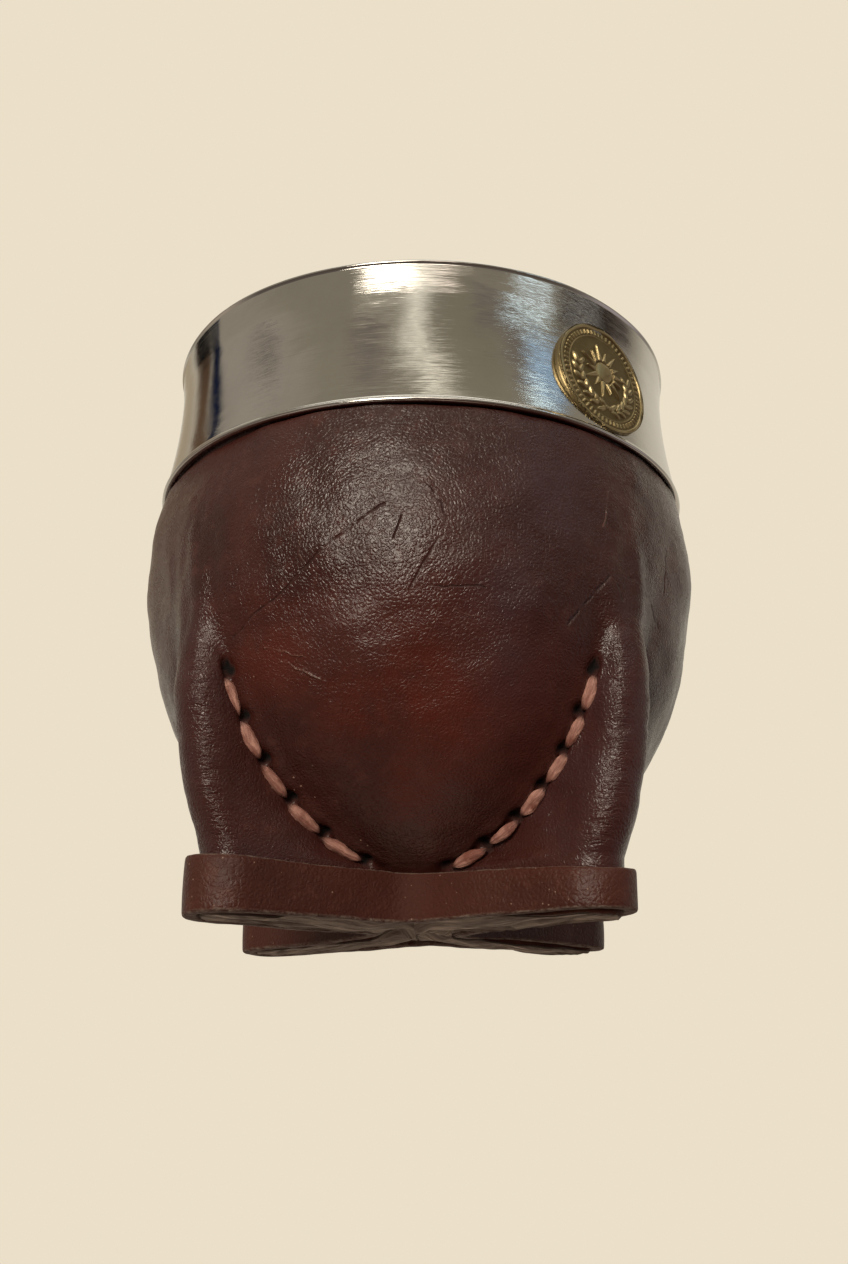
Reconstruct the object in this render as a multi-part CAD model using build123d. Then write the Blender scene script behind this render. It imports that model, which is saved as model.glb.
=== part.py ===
from build123d import *

import os
from math import acos, asin, atan2, cos, hypot, pi, radians, sin, sqrt

# A mate gourd cup in a stitched leather cover, with a metal rim band.
#
# A dried calabash is cut open at the neck and dressed in one piece of wet-formed
# leather. The spare leather gathers in four pleats, laced shut along the belly, and
# a leather strap binds the pleats into the foot. A metal band caps the mouth and
# carries a small brass medal.
#
# Units are millimetres. Z is up, the foot rests on z = 0, the pleats lie on the
# diagonals and the front is -Y.

os.makedirs("parts", exist_ok=True)

# ---------------------------------------------------------------- overall form
cup_height = 100.0          # foot to lip
belly_radius = 47.4         # leather at its widest
belly_level = 0.59 * cup_height     # height of the widest place
belly_drop = 0.5435 * cup_height    # the belly is an ellipse this tall below that place
belly_floor = 9.0           # flat underside of the belly above the ground

# ------------------------------------------------------------ gourd and leather
leather_thickness = 2.4
leather_gap = 0.1           # leather lies this far off the gourd
gourd_wall = 6.5            # at the belly
gourd_neck_wall = 4.6       # at the cut mouth

# -------------------------------------------------------------------- rim band
band_height = 26.25
band_overhang = 0.33        # its lower edge stands out from the leather by this much
band_waist_radius = 44.1    # outside, at its narrowest
band_waist_drop = 6.0       # from the lip down to the waist
band_lip_radius = 44.5
band_sheet = 0.9
band_gap = 0.1              # between the band and what it caps
band_hem_height = 1.6       # lower edge, folded inwards
band_hem_thickness = 1.2
lip_round = 1.1
skirt_depth = 11.0          # inner skirt that grips the mouth, below the lip
tuck_depth = 3.0            # leather that runs up under the band
band_reveal = 0.4           # dark line between the leather and the band

# ----------------------------------------------------------------------- medal
medal_radius = 9.8
medal_thickness = 1.8
medal_drop = 15.1           # from the lip down to its middle
medal_azimuth = -47.0       # degrees from +X
medal_border = 1.1
medal_relief = 0.4
medal_gap = 0.05            # solder line behind the medal
medal_rays = 12
medal_sink = 0.7            # its back is dished to the band by this much

# -------------------------------------------------------------- pleats and foot
pleat_half = 4.4            # half the thickness of the rounded outer fold
foot_tip = 26.3             # x and y of the centre of each fold at the ground
foot_end_valley = 15.1      # leather in the front and back valleys, from the axis
foot_end_round = 8.5
foot_side_valley = 5.7      # leather in the two side valleys, from the axis
foot_side_round = 7.0
foot_lap = 0.5              # the foot runs up into the pleats by this much
foot_end_root = 9.4         # half thickness at the root, towards the end valleys
foot_side_root = 4.7        # and towards the side valleys
pleat_root = 14.0           # roots are measured at this distance from the axis
# share of the way up from the belly's floor to its widest level, reach beyond the
# widest radius, half thickness of the fold, then both half thicknesses at the root
pleat_rises = [
    (0.16, -2.6, 4.4, 6.8, 4.6),
    (0.34, -0.4, 4.4, 4.8, 4.4),
    (0.54, 1.1, 4.4, 4.4, 4.4),
    (0.74, 1.3, 4.0, 4.2, 4.2),
    (0.90, 0.4, 3.4, 3.8, 3.8),
    (1.04, -1.5, 2.6, 3.2, 3.2),
]
slit_width = 0.9            # between the two leaves of a pleat, seen from below
slit_depth = 5.0
slit_ends = (14.0, 37.0)    # distances from the axis

# ------------------------------------------------------------------------ strap
strap_thickness = 2.3
strap_gap = 0.1
strap_drop = 1.0            # from the belly's floor down to the middle of its top
strap_bottom = 0.65         # height of the middle of its lower edge
strap_top_slope = -0.025    # the strap is cut a little narrower towards +X
strap_bottom_slope = 0.018

# ------------------------------------------------------------------------- lace
lace_drop = 23.7            # from the widest level down to the topmost hole
lace_half = 0.9             # half the width of a stitch at its fullest
lace_cord = 0.65            # radius of the lace inside a hole
lace_end = 0.25             # the lace stands out of its holes by this much
lace_gap = 0.1
lace_lift = 0.9             # holes lie this far outside the belly
lace_clear = 0.2            # the lowest stitch clears the strap by this much
lace_pitch = {"front_left": 7.1, "front_right": 6.2, "back_left": 6.6, "back_right": 6.8}

# pleat name: (x side, y side)
pleat_sides = {
    "front_left": (-1, -1),
    "front_right": (1, -1),
    "back_left": (-1, 1),
    "back_right": (1, 1),
}

big = 4 * cup_height        # half size of the blocks that trim the bodies


# ------------------------------------------------------------------ shared forms
def belly_at(level, inset=0.0):
    """Radius of the belly at a height, measured inset from the leather's outside."""
    rise = (level - belly_level) / (belly_drop - inset)
    return (belly_radius - inset) * sqrt(1 - rise * rise)


def belly_body(inset):
    """The whole egg-shaped body, inset from the leather's outside."""
    radius, drop = belly_radius - inset, belly_drop - inset
    with BuildPart() as body:
        with BuildSketch(Plane.XZ):
            with Locations((0, belly_level)):
                Ellipse(radius, drop)
            with Locations((-big, belly_level)):
                Rectangle(2 * big, 2 * big, mode=Mode.SUBTRACT)
        revolve(axis=Axis.Z)
    return body.part


def slab(low, high):
    """Everything between two heights."""
    return Pos(0, 0, low) * Box(big, big, high - low, align=(Align.CENTER, Align.CENTER, Align.MIN))


def rod(radius, low, high):
    """An upright cylinder on the axis."""
    return Pos(0, 0, low) * Cylinder(radius, high - low, align=(Align.CENTER, Align.CENTER, Align.MIN))


def one_solid(shape):
    """The only solid of a result that has to be in one piece."""
    solids = shape.solids()
    if len(solids) != 1:
        raise ValueError(f"expected one solid, found {len(solids)}")
    return solids[0]


# ------------------------------------------------------------------------- gourd
band_bottom = cup_height - band_height
band_foot_radius = belly_at(band_bottom - band_reveal) + band_overhang
neck_radius = band_waist_radius - band_sheet - band_gap
mouth_level = cup_height - band_sheet - band_gap
mouth_radius = neck_radius - gourd_neck_wall


def gourd_outside(gap):
    """The gourd's outside, grown by a gap: a flat underside, the belly, a shoulder that
    the leather covers, and a neck turned down for the band."""
    inset = leather_thickness - gap
    belly = belly_body(inset) & slab(belly_floor + inset, band_bottom - band_reveal - inset)
    return belly + rod(neck_radius + gap, belly_level, mouth_level)


def make_gourd():
    """The dried calabash: a shell with a straight mouth, open at the top."""
    inset = leather_thickness + gourd_wall
    bowl = belly_body(inset) & slab(belly_floor + inset, belly_level)
    hollow = bowl + rod(min(mouth_radius, belly_radius - inset), belly_level - 1, cup_height)
    return one_solid(gourd_outside(0) - hollow)


# ----------------------------------------------------------------------- foot
def foot_outline(grow):
    """The four-lobed outline of the gathered pleats at the ground, grown outwards.

    Four tip arcs and four valley arcs, joined by straight runs tangent to both.
    """
    tip_round = pleat_half + grow
    end_round, side_round = foot_end_round - grow, foot_side_round - grow
    end_centre = (0.0, foot_end_valley + foot_end_round)
    side_centre = (foot_side_valley + foot_side_round, 0.0)
    tip = (foot_tip, foot_tip)

    def run(valley, valley_round, turn):
        """Ends of the run from a valley arc to the tip arc. turn is +1 or -1."""
        dx, dy = tip[0] - valley[0], tip[1] - valley[1]
        along = atan2(dy, dx)
        angle = along + turn * acos((tip_round + valley_round) / hypot(dx, dy))
        at_valley = (valley[0] + valley_round * cos(angle), valley[1] + valley_round * sin(angle))
        at_tip = (tip[0] - tip_round * cos(angle), tip[1] - tip_round * sin(angle))
        return at_valley, at_tip

    side_start, side_end = run(side_centre, side_round, 1)
    end_start, end_end = run(end_centre, end_round, -1)
    outward = pi / 4
    tip_middle = (tip[0] + tip_round * cos(outward), tip[1] + tip_round * sin(outward))
    edges = []
    for flip_x, flip_y in pleat_sides.values():
        def place(point):
            return (point[0] * flip_x, point[1] * flip_y)
        edges.append(Line(place(side_start), place(side_end)))
        edges.append(ThreePointArc(place(side_end), place(tip_middle), place(end_end)))
        edges.append(Line(place(end_end), place(end_start)))
    for flip in (1, -1):
        edges.append(ThreePointArc(
            (end_start[0], end_start[1] * flip),
            (0, (foot_end_valley + grow) * flip),
            (-end_start[0], end_start[1] * flip)))
        edges.append(ThreePointArc(
            (side_start[0] * flip, side_start[1]),
            ((foot_side_valley + grow) * flip, 0),
            (side_start[0] * flip, -side_start[1])))
    return make_face(Wire(edges))


# --------------------------------------------------------------------- pleats
# height, reach, half thickness of the fold and both roots, from the ground up
pleat_levels = [(belly_floor, hypot(foot_tip, foot_tip) + pleat_half, pleat_half,
                 foot_end_root, foot_side_root)]
for share, beyond, fold, end_root, side_root in pleat_rises:
    pleat_levels.append((belly_floor + share * (belly_level - belly_floor),
                         belly_radius + beyond, fold, end_root, side_root))


def pleat_section(level, reach, tip, end_root, side_root):
    """One level outline of a pleat, lying along +X, with the end valley towards +Y."""
    centre = reach - tip

    def touch(root):
        """Where the side from the root meets the rounded fold."""
        dx, dy = centre - pleat_root, -root
        angle = atan2(dy, dx) + acos(tip / hypot(dx, dy))
        return (centre - tip * cos(angle), -tip * sin(angle))

    end_touch, side_touch = touch(end_root), touch(side_root)
    end_touch = (end_touch[0], abs(end_touch[1]))
    side_touch = (side_touch[0], -abs(side_touch[1]))
    corners = [(pleat_root, end_root), (pleat_root, -side_root)]
    edges = [
        Line(corners[1], side_touch),
        ThreePointArc(side_touch, (reach, 0), end_touch),
        Line(end_touch, corners[0]),
        Line(corners[0], corners[1]),
    ]
    return Pos(0, 0, level) * make_face(Wire(edges))


def pleat_half_at(distance, level, towards_end):
    """Half thickness of a pleat at a distance from the axis and a height."""
    column = 3 if towards_end else 4
    for lower, upper in zip(pleat_levels, pleat_levels[1:]):
        if level <= upper[0]:
            break
    share = (level - lower[0]) / (upper[0] - lower[0])
    reach, tip, root = (lower[i] + share * (upper[i] - lower[i]) for i in (1, 2, column))
    along = (distance - pleat_root) / (reach - tip - pleat_root)
    return root + along * (tip - root)


def pleat_place(name):
    """Turns a shape made along +X, end valley towards +Y, into one of the pleats."""
    flip_x, flip_y = pleat_sides[name]

    def move(shape):
        shape = Rot(0, 0, 45) * shape
        if flip_x < 0:
            shape = mirror(shape, about=Plane.YZ)
        if flip_y < 0:
            shape = mirror(shape, about=Plane.XZ)
        return shape
    return move


def make_pleat():
    """One pleat along +X: a thick fold that thins out as it climbs into the belly."""
    return loft([pleat_section(*row) for row in pleat_levels])


def make_slit():
    """The thin gap between the two leaves of a pleat, open at the ground."""
    near, far = slit_ends
    length = far - near
    return Pos((near + far) / 2, 0, 0) * Box(length, slit_width, 2 * slit_depth)


# ----------------------------------------------------------------------- lace
def lace_holes(name):
    """Distance from the axis and height of each hole, down the seam to the strap."""
    x_side = pleat_sides[name][0]
    holes = []
    turn = asin(lace_drop / belly_drop)
    while True:
        level = belly_level - belly_drop * sin(turn)
        radius = belly_radius * cos(turn)
        strap_here = belly_floor - strap_drop + strap_top_slope * x_side * radius * cos(radians(45))
        if level < strap_here + lace_half + lace_clear:
            return holes
        half = pleat_half_at(radius, level, True)
        holes.append((sqrt(radius ** 2 - half ** 2) + lace_lift, level))
        turn += lace_pitch[name] / hypot(belly_radius * sin(turn), belly_drop * cos(turn))


def make_stitch(start, end, half):
    """A stitch: a spindle that is fullest in the middle and ends in two holes."""
    start, end = Vector(*start), Vector(*end)
    length = (end - start).length
    with BuildPart() as spindle:
        with BuildSketch(Plane.XZ):
            with BuildLine():
                ThreePointArc((0, 0), (half, length / 2), (0, length))
                Line((0, length), (0, 0))
            make_face()
        revolve(axis=Axis.Z)
    return Plane(origin=start, z_dir=end - start).location * spindle.part


def make_lace(name, gap):
    """The lace of one pleat, grown by a gap: stitches on both sides, joined through
    the holes."""
    ends = []
    for distance, level in lace_holes(name):
        end_side = pleat_half_at(distance, level, True)
        side_side = -pleat_half_at(distance, level, False)
        ends.append(((distance, side_side, level), (distance, end_side, level)))
    lace = None
    for side_point, end_point in ends:
        cord = Cylinder(lace_cord + gap, end_point[1] - side_point[1] + 2 * (lace_end + gap))
        middle = (side_point[1] + end_point[1]) / 2
        cord = Pos(side_point[0], middle, side_point[2]) * Rot(90, 0, 0) * cord
        lace = cord if lace is None else lace + cord
    for upper, lower in zip(ends, ends[1:]):
        for side in (0, 1):
            lace += make_stitch(upper[side], lower[side], lace_half + gap)
    return pleat_place(name)(lace)


# ---------------------------------------------------------------- leather cover
hem_inside = band_foot_radius - band_hem_thickness


def make_leather():
    """One piece of leather over the gourd, tucked under the band and pleated below."""
    cover = belly_body(0) & slab(belly_floor, band_bottom - band_reveal)
    cover += rod(hem_inside - band_gap, belly_level, band_bottom + tuck_depth)
    cover += extrude(foot_outline(0), belly_floor + foot_lap)
    pleat = make_pleat()
    for name in pleat_sides:
        cover += pleat_place(name)(pleat)
    cover -= gourd_outside(leather_gap)
    for name in pleat_sides:
        cover -= pleat_place(name)(make_slit())
        cover -= make_lace(name, lace_gap)
    return one_solid(cover)


# ------------------------------------------------------------------------ strap
def make_strap():
    """The leather strap that binds the pleats, cut slightly narrower towards +X."""
    ring = foot_outline(strap_gap + strap_thickness)
    hole = foot_outline(strap_gap)
    strap = extrude(ring, belly_floor) - extrude(hole, belly_floor)
    top = Plane(origin=(0, 0, belly_floor - strap_drop), z_dir=(-strap_top_slope, 0, 1))
    bottom = Plane(origin=(0, 0, strap_bottom), z_dir=(-strap_bottom_slope, 0, 1))
    strap = split(strap, bisect_by=top, keep=Keep.BOTTOM)
    strap = split(strap, bisect_by=bottom, keep=Keep.TOP)
    return one_solid(strap)


# --------------------------------------------------------------------- rim band
waist_level = cup_height - band_waist_drop
hem_top = band_bottom + band_hem_height
flare = band_foot_radius - band_waist_radius
flare_drop = waist_level - hem_top
flare_round = (flare_drop ** 2 + flare ** 2) / (2 * flare)


def band_at(level):
    """Outside radius of the band's flared wall at a height."""
    return band_waist_radius + flare_round - sqrt(flare_round ** 2 - (waist_level - level) ** 2)


def make_band():
    """Spun sheet metal: hemmed lower edge, flared wall, rolled lip and inner skirt."""
    middle = (waist_level + hem_top) / 2
    lip_under = cup_height - band_sheet
    skirt_outside = mouth_radius - band_gap
    skirt_inside = skirt_outside - band_sheet
    skirt_bottom = cup_height - skirt_depth
    wall_inside = band_waist_radius - band_sheet
    corner = lip_round * (1 - cos(radians(45)))
    with BuildPart() as band:
        with BuildSketch(Plane.XZ):
            with BuildLine():
                Line((hem_inside, band_bottom), (band_foot_radius, band_bottom))
                Line((band_foot_radius, band_bottom), (band_foot_radius, hem_top))
                ThreePointArc((band_foot_radius, hem_top), (band_at(middle), middle),
                              (band_waist_radius, waist_level))
                Line((band_waist_radius, waist_level), (band_lip_radius, cup_height - lip_round))
                ThreePointArc((band_lip_radius, cup_height - lip_round),
                              (band_lip_radius - corner, cup_height - corner),
                              (band_lip_radius - lip_round, cup_height))
                Line((band_lip_radius - lip_round, cup_height), (skirt_inside + lip_round, cup_height))
                ThreePointArc((skirt_inside + lip_round, cup_height),
                              (skirt_inside + corner, cup_height - corner),
                              (skirt_inside, cup_height - lip_round))
                Polyline((skirt_inside, cup_height - lip_round), (skirt_inside, skirt_bottom),
                         (skirt_outside, skirt_bottom), (skirt_outside, lip_under),
                         (wall_inside, lip_under), (wall_inside, waist_level))
                ThreePointArc((wall_inside, waist_level), (band_at(middle) - band_sheet, middle),
                              (band_foot_radius - band_sheet, hem_top))
                Polyline((band_foot_radius - band_sheet, hem_top), (hem_inside, hem_top),
                         (hem_inside, band_bottom))
            make_face()
        revolve(axis=Axis.Z)
    return one_solid(band.part)


def band_outside(gap):
    """A solid of the band's outer wall, grown by a gap, to seat the medal on."""
    middle = (waist_level + hem_top) / 2
    with BuildPart() as wall:
        with BuildSketch(Plane.XZ):
            with BuildLine():
                Line((0, hem_top - band_hem_height), (band_foot_radius + gap, hem_top - band_hem_height))
                Line((band_foot_radius + gap, hem_top - band_hem_height), (band_foot_radius + gap, hem_top))
                ThreePointArc((band_foot_radius + gap, hem_top), (band_at(middle) + gap, middle),
                              (band_waist_radius + gap, waist_level))
                Polyline((band_waist_radius + gap, waist_level), (band_lip_radius + gap, cup_height),
                         (0, cup_height), (0, hem_top - band_hem_height))
            make_face()
        revolve(axis=Axis.Z)
    return wall.part


# ------------------------------------------------------------------------ medal
def make_medal():
    """A brass disc soldered to the band: raised border, and a sun with plain rays."""
    medal_level = cup_height - medal_drop
    lean = asin((waist_level - medal_level) / flare_round)
    turn = radians(medal_azimuth)
    outward = Vector(cos(turn) * cos(lean), sin(turn) * cos(lean), sin(lean))
    radius = band_at(medal_level)
    seat = Vector(radius * cos(turn), radius * sin(turn), medal_level)
    sideways = Vector(-sin(turn), cos(turn), 0)
    face = Plane(origin=seat, x_dir=sideways, z_dir=outward)
    low = (Align.CENTER, Align.CENTER, Align.MIN)
    body = medal_thickness - medal_relief
    disc = Pos(0, 0, -medal_sink) * Cylinder(medal_radius, body + medal_sink, align=low)
    border = Pos(0, 0, body) * (
        Cylinder(medal_radius, medal_relief, align=low)
        - Cylinder(medal_radius - medal_border, medal_relief, align=low))
    sun = 0.3 * medal_radius
    disc += border + Pos(0, 0, body) * Cylinder(sun, medal_relief, align=low)
    ray_length = 0.3 * medal_radius
    for step in range(medal_rays):
        ray = Pos(sun + 0.6 * medal_border + ray_length / 2, 0, body) * Box(
            ray_length, 0.08 * medal_radius, medal_relief, align=low)
        disc += Rot(0, 0, step * 360 / medal_rays) * ray
    return one_solid(face.location * disc - band_outside(medal_gap))


# ------------------------------------------------------------------------ write
def write(name, solid):
    """One named piece, one file."""
    solid.label = name
    export_step(solid, f"parts/{name}.step")


write("gourd", make_gourd())
write("leather_cover", make_leather())
write("base_strap", make_strap())
write("rim_band", make_band())
write("medal", make_medal())
for pleat_name in pleat_sides:
    write(f"lace_{pleat_name}", one_solid(make_lace(pleat_name, 0)))
    print(pleat_name, "stitches on each side:", len(lace_holes(pleat_name)) - 1)
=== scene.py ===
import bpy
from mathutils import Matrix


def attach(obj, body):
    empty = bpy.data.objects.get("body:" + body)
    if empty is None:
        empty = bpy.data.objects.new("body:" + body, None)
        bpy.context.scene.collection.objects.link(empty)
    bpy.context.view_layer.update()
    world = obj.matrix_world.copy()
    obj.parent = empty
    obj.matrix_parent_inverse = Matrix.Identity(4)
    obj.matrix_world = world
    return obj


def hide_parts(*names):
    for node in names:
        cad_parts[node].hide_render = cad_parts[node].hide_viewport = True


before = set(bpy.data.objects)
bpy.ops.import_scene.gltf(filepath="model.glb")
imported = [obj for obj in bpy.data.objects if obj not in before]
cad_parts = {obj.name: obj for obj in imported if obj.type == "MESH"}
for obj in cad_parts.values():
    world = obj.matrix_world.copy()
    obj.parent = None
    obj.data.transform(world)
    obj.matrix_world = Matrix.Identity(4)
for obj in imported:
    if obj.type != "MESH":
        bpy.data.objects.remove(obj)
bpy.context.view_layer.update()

from math import acos, asin, atan2, cos, degrees, hypot, pi, radians, sin, sqrt

import bpy
import numpy as np
from mathutils import Matrix, Vector

# ------------------------------------------------------------------ the calabash
# The cup is a dried calabash, cut straight across its neck and scraped out. Its woody
# wall is thick at the belly and turned down at the mouth, where the metal band sits.
mm = 0.001
cup_height = 100.0
gourd_wall = 6.5


def ripple(points, size, seed, waves=20):
    """Smooth unevenness, about -1 to 1, with swellings about size across."""
    draw = np.random.default_rng(seed)
    total = np.zeros(points.shape[:-1])
    for _ in range(waves):
        way = draw.normal(size=3)
        way *= 2 * pi / (size * draw.uniform(1.2, 3.0)) / np.linalg.norm(way)
        total += np.sin(points @ way + draw.uniform(0, 2 * pi))
    return total / sqrt(waves / 2)


def grid_faces(rings, columns, loop=False):
    """Faces between rings that close on themselves, and between the ends for a loop."""
    ring = np.arange(rings if loop else rings - 1)[:, None]
    column = np.arange(columns)[None, :]
    above, beside = (ring + 1) % rings, (column + 1) % columns
    corners = [ring * columns + column, ring * columns + beside,
               above * columns + beside, above * columns + column]
    return np.stack(np.broadcast_arrays(*corners), axis=-1).reshape(-1, 4).tolist()


def capped_faces(rings, columns):
    """Faces between rings, with the first ring closed from below and the last from above."""
    last = (rings - 1) * columns
    return grid_faces(rings, columns) + [list(range(columns))[::-1], list(range(last, last + columns))]


def new_piece(name, points, faces, material):
    """A smooth-shaded mesh object from points in millimetres."""
    mesh = bpy.data.meshes.new(name)
    mesh.from_pydata((np.asarray(points).reshape(-1, 3) * mm).tolist(), [], faces)
    mesh.materials.append(material)
    mesh.polygons.foreach_set("use_smooth", [True] * len(mesh.polygons))
    mesh.update()
    piece = bpy.data.objects.new(name, mesh)
    bpy.context.scene.collection.objects.link(piece)
    return piece


def lathe(profile, columns):
    """Rings of points round the axis for a profile of (radius, height) pairs."""
    profile = np.asarray(profile, dtype=float)
    turn = np.arange(columns) * 2 * pi / columns
    return np.stack([profile[:, :1] * np.cos(turn), profile[:, :1] * np.sin(turn),
                     np.repeat(profile[:, 1:], columns, axis=1)], axis=-1)


def new_material(name, **sockets):
    """A material with its Principled shader, whose fixed sockets are set here."""
    material = bpy.data.materials.new(name)
    material.use_nodes = True
    shader = material.node_tree.nodes["Principled BSDF"]
    for socket, value in sockets.items():
        shader.inputs[socket.replace("_", " ")].default_value = value
    return material, material.node_tree, shader


def put(tree, kind, feeds=(), **settings):
    """A node whose inputs are fed with numbers or with other nodes' outputs."""
    node = tree.nodes.new(kind)
    for setting, value in settings.items():
        setattr(node, setting, value)
    for socket, value in dict(feeds).items():
        if isinstance(value, bpy.types.NodeSocket):
            tree.links.new(value, node.inputs[socket])
        else:
            node.inputs[socket].default_value = value
    return node


def maths(tree, operation, first, second=0.0, clamp=False):
    return put(tree, "ShaderNodeMath", {0: first, 1: second},
               operation=operation, use_clamp=clamp).outputs[0]


def blend_colour(tree, share, first, second, way="MIX"):
    return put(tree, "ShaderNodeMix", {0: share, 6: first, 7: second},
               data_type="RGBA", blend_type=way).outputs[2]


def rise(tree, value, low, high, start=0.0, end=1.0):
    """A smooth step from start to end as value goes from low to high."""
    return put(tree, "ShaderNodeMapRange", {"Value": value, "From Min": low, "From Max": high,
               "To Min": start, "To Max": end}, interpolation_type="SMOOTHSTEP").outputs[0]


def stretched(tree, vector, scale):
    """Coordinates stretched by a different amount along each axis."""
    return put(tree, "ShaderNodeMapping", {"Vector": vector, "Scale": scale}).outputs[0]


def noise(tree, vector, scale, detail=4.0, roughness=0.55, warp=0.0):
    return put(tree, "ShaderNodeTexNoise", {"Vector": vector, "Scale": scale, "Detail": detail,
               "Roughness": roughness, "Distortion": warp}).outputs[0]


def object_place(tree):
    return put(tree, "ShaderNodeTexCoord").outputs["Object"]


def raise_bump(tree, height, strength, depth, under=None):
    """A Bump node for a height of 0 to 1, depth in metres, over another normal."""
    feeds = {"Height": height, "Strength": strength, "Distance": depth}
    if under is not None:
        feeds["Normal"] = under
    return put(tree, "ShaderNodeBump", feeds).outputs[0]


def times(tree, first, second):
    return maths(tree, "MULTIPLY", first, second)


def vectors(tree, operation, first, second, third=None, way=0):
    """Vector maths. SCALE takes a number as its second."""
    feeds = {0: first, "Scale" if operation == "SCALE" else 1: second}
    if third is not None:
        feeds[2] = third
    return put(tree, "ShaderNodeVectorMath", feeds, operation=operation).outputs[way]


def new_group(name, inputs, outputs):
    """An empty shader group. inputs and outputs are {name: (socket type, value)}."""
    group = bpy.data.node_groups.new(name, "ShaderNodeTree")
    for sockets, way in ((inputs, "INPUT"), (outputs, "OUTPUT")):
        for socket, (kind, value) in sockets.items():
            made = group.interface.new_socket(socket, in_out=way, socket_type="NodeSocket" + kind)
            if value is not None:
                made.default_value = value
    given = group.nodes.new("NodeGroupInput")
    result = group.nodes.new("NodeGroupOutput")
    return group, given.outputs, result.inputs


def use_group(tree, group, **feeds):
    """A group's outputs, with its inputs fed by name."""
    node = tree.nodes.new("ShaderNodeGroup")
    node.node_tree = group
    for socket, value in feeds.items():
        socket = node.inputs[socket.replace("_", " ")]
        if isinstance(value, bpy.types.NodeSocket):
            tree.links.new(value, socket)
        else:
            socket.default_value = value
    return node.outputs


# long fibres, as in wood, in a cut edge of hide and along a lace
fibres, given, result = new_group(
    "Fibres",
    {"Vector": ("Vector", None), "Across": ("Vector", (1.0, 1.0, 1.0)), "Fineness": ("Float", 900.0)},
    {"Fibre": ("Float", None), "Streak": ("Float", None)})
along = vectors(fibres, "MULTIPLY", given["Vector"], given["Across"])
strand = put(fibres, "ShaderNodeTexNoise", {"Vector": along, "Scale": given["Fineness"],
             "Detail": 5.0, "Roughness": 0.6, "Distortion": 0.4}).outputs[0]
fibres.links.new(rise(fibres, strand, 0.3, 0.7), result["Fibre"])
broad = put(fibres, "ShaderNodeTexNoise", {
    "Vector": along, "Scale": times(fibres, given["Fineness"], 0.17), "Detail": 3.0}).outputs[0]
fibres.links.new(rise(fibres, broad, 0.35, 0.65), result["Streak"])

calabash, tree, shader = new_material("calabash", Roughness=0.62)
place = object_place(tree)
grain = use_group(tree, fibres, Vector=place, Across=(1.0, 1.0, 0.35), Fineness=420.0)
stain = noise(tree, place, 60.0, 5.0)
tone = blend_colour(tree, grain["Streak"], (0.30, 0.17, 0.075, 1), (0.42, 0.27, 0.13, 1))
tone = blend_colour(tree, rise(tree, stain, 0.45, 0.75), tone, (0.16, 0.085, 0.035, 1))
tree.links.new(tone, shader.inputs["Base Color"])
tree.links.new(raise_bump(tree, grain["Fibre"], 0.5, 0.0003), shader.inputs["Normal"])

belly_radius, belly_level, belly_drop, belly_floor = 47.4, 59.0, 54.35, 9.0
leather_thickness, leather_gap = 2.4, 0.1
neck_radius, mouth_radius, mouth_level = 43.1, 38.5, 99.0
band_bottom, band_reveal = 73.75, 0.4
cup_columns, outside_rows, inside_rows = 192, 60, 90
mouth_round, mouth_bevel = 0.4, 0.5
scrape_start, scrape_fade, scrape_size, scrape_depth = 10, 8, 9, 0.25   # the scraped inside, below the mouth


def belly_at(level, inset=0.0):
    """Radius of the belly at a height, measured inset from the leather's outside."""
    fall = (np.asarray(level) - belly_level) / (belly_drop - inset)
    return (belly_radius - inset) * np.sqrt(np.clip(1 - fall * fall, 0, 1))


gourd_skin, gourd_hollow = leather_thickness, leather_thickness + gourd_wall
gourd_shoulder = band_bottom - band_reveal - gourd_skin
outer = [(belly_at(level, gourd_skin), level)
         for level in np.linspace(belly_floor + gourd_skin, gourd_shoulder, outside_rows)]
outer += [(neck_radius, gourd_shoulder), (neck_radius, mouth_level - mouth_round),
          (neck_radius - mouth_round, mouth_level)]
inner = [(mouth_radius + mouth_bevel, mouth_level), (mouth_radius, mouth_level - mouth_bevel)]
inner += [(min(mouth_radius, belly_at(min(level, belly_level), gourd_hollow)), level)
          for level in np.linspace(mouth_level - 4, belly_floor + gourd_hollow, inside_rows)]
profile = outer + inner
rings = lathe(profile, cup_columns)
inside = np.arange(len(profile)) >= len(outer)
scraped = np.clip((mouth_level - scrape_start - rings[..., 2]) / scrape_fade, 0, 1) * inside[:, None]
wobble = ripple(rings, scrape_size, 11) * scrape_depth * scraped
away = rings[..., :2] / np.maximum(np.hypot(rings[..., 0], rings[..., 1])[..., None], 1.0)
rings[..., :2] += away * wobble[..., None]
faces = capped_faces(len(profile), cup_columns)
cup = new_piece("calabash_cup", rings, faces, calabash)
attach(cup, "root"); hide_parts("gourd")

# ------------------------------------------------------------- the leather cover
# One piece of thick hide is wetted and drawn over the gourd. What is left over at the
# bottom gathers in four pleats, whose leaves are pressed together and laced along the
# belly. It dries hard, burnished and dark, with its creases, scars and pebbled grain.
fold_half, fold_tip = 4.4, 26.3
end_valley, end_round = 15.1, 8.5
side_valley, side_round = 5.7, 7.0
pleat_root = 14.0
# height, reach, half thickness of the fold, half thicknesses at the end and side roots
pleat_sizes = np.array([
    (9.0, 41.6, 4.4, 9.4, 4.7),
    (17.0, 44.8, 4.4, 6.8, 4.6),
    (26.0, 47.0, 4.4, 4.8, 4.4),
    (36.0, 48.5, 4.4, 4.4, 4.4),
    (46.0, 46.3, 4.8, 5.0, 5.0),
    (54.0, 43.6, 3.2, 3.6, 3.6),
    (61.0, 39.5, 2.8, 3.2, 3.2),
    (68.0, 34.0, 2.6, 3.0, 3.0),
])
across_panel, across_wall = 25, 31      # columns from a valley to the seam, and on to the fold
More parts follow.
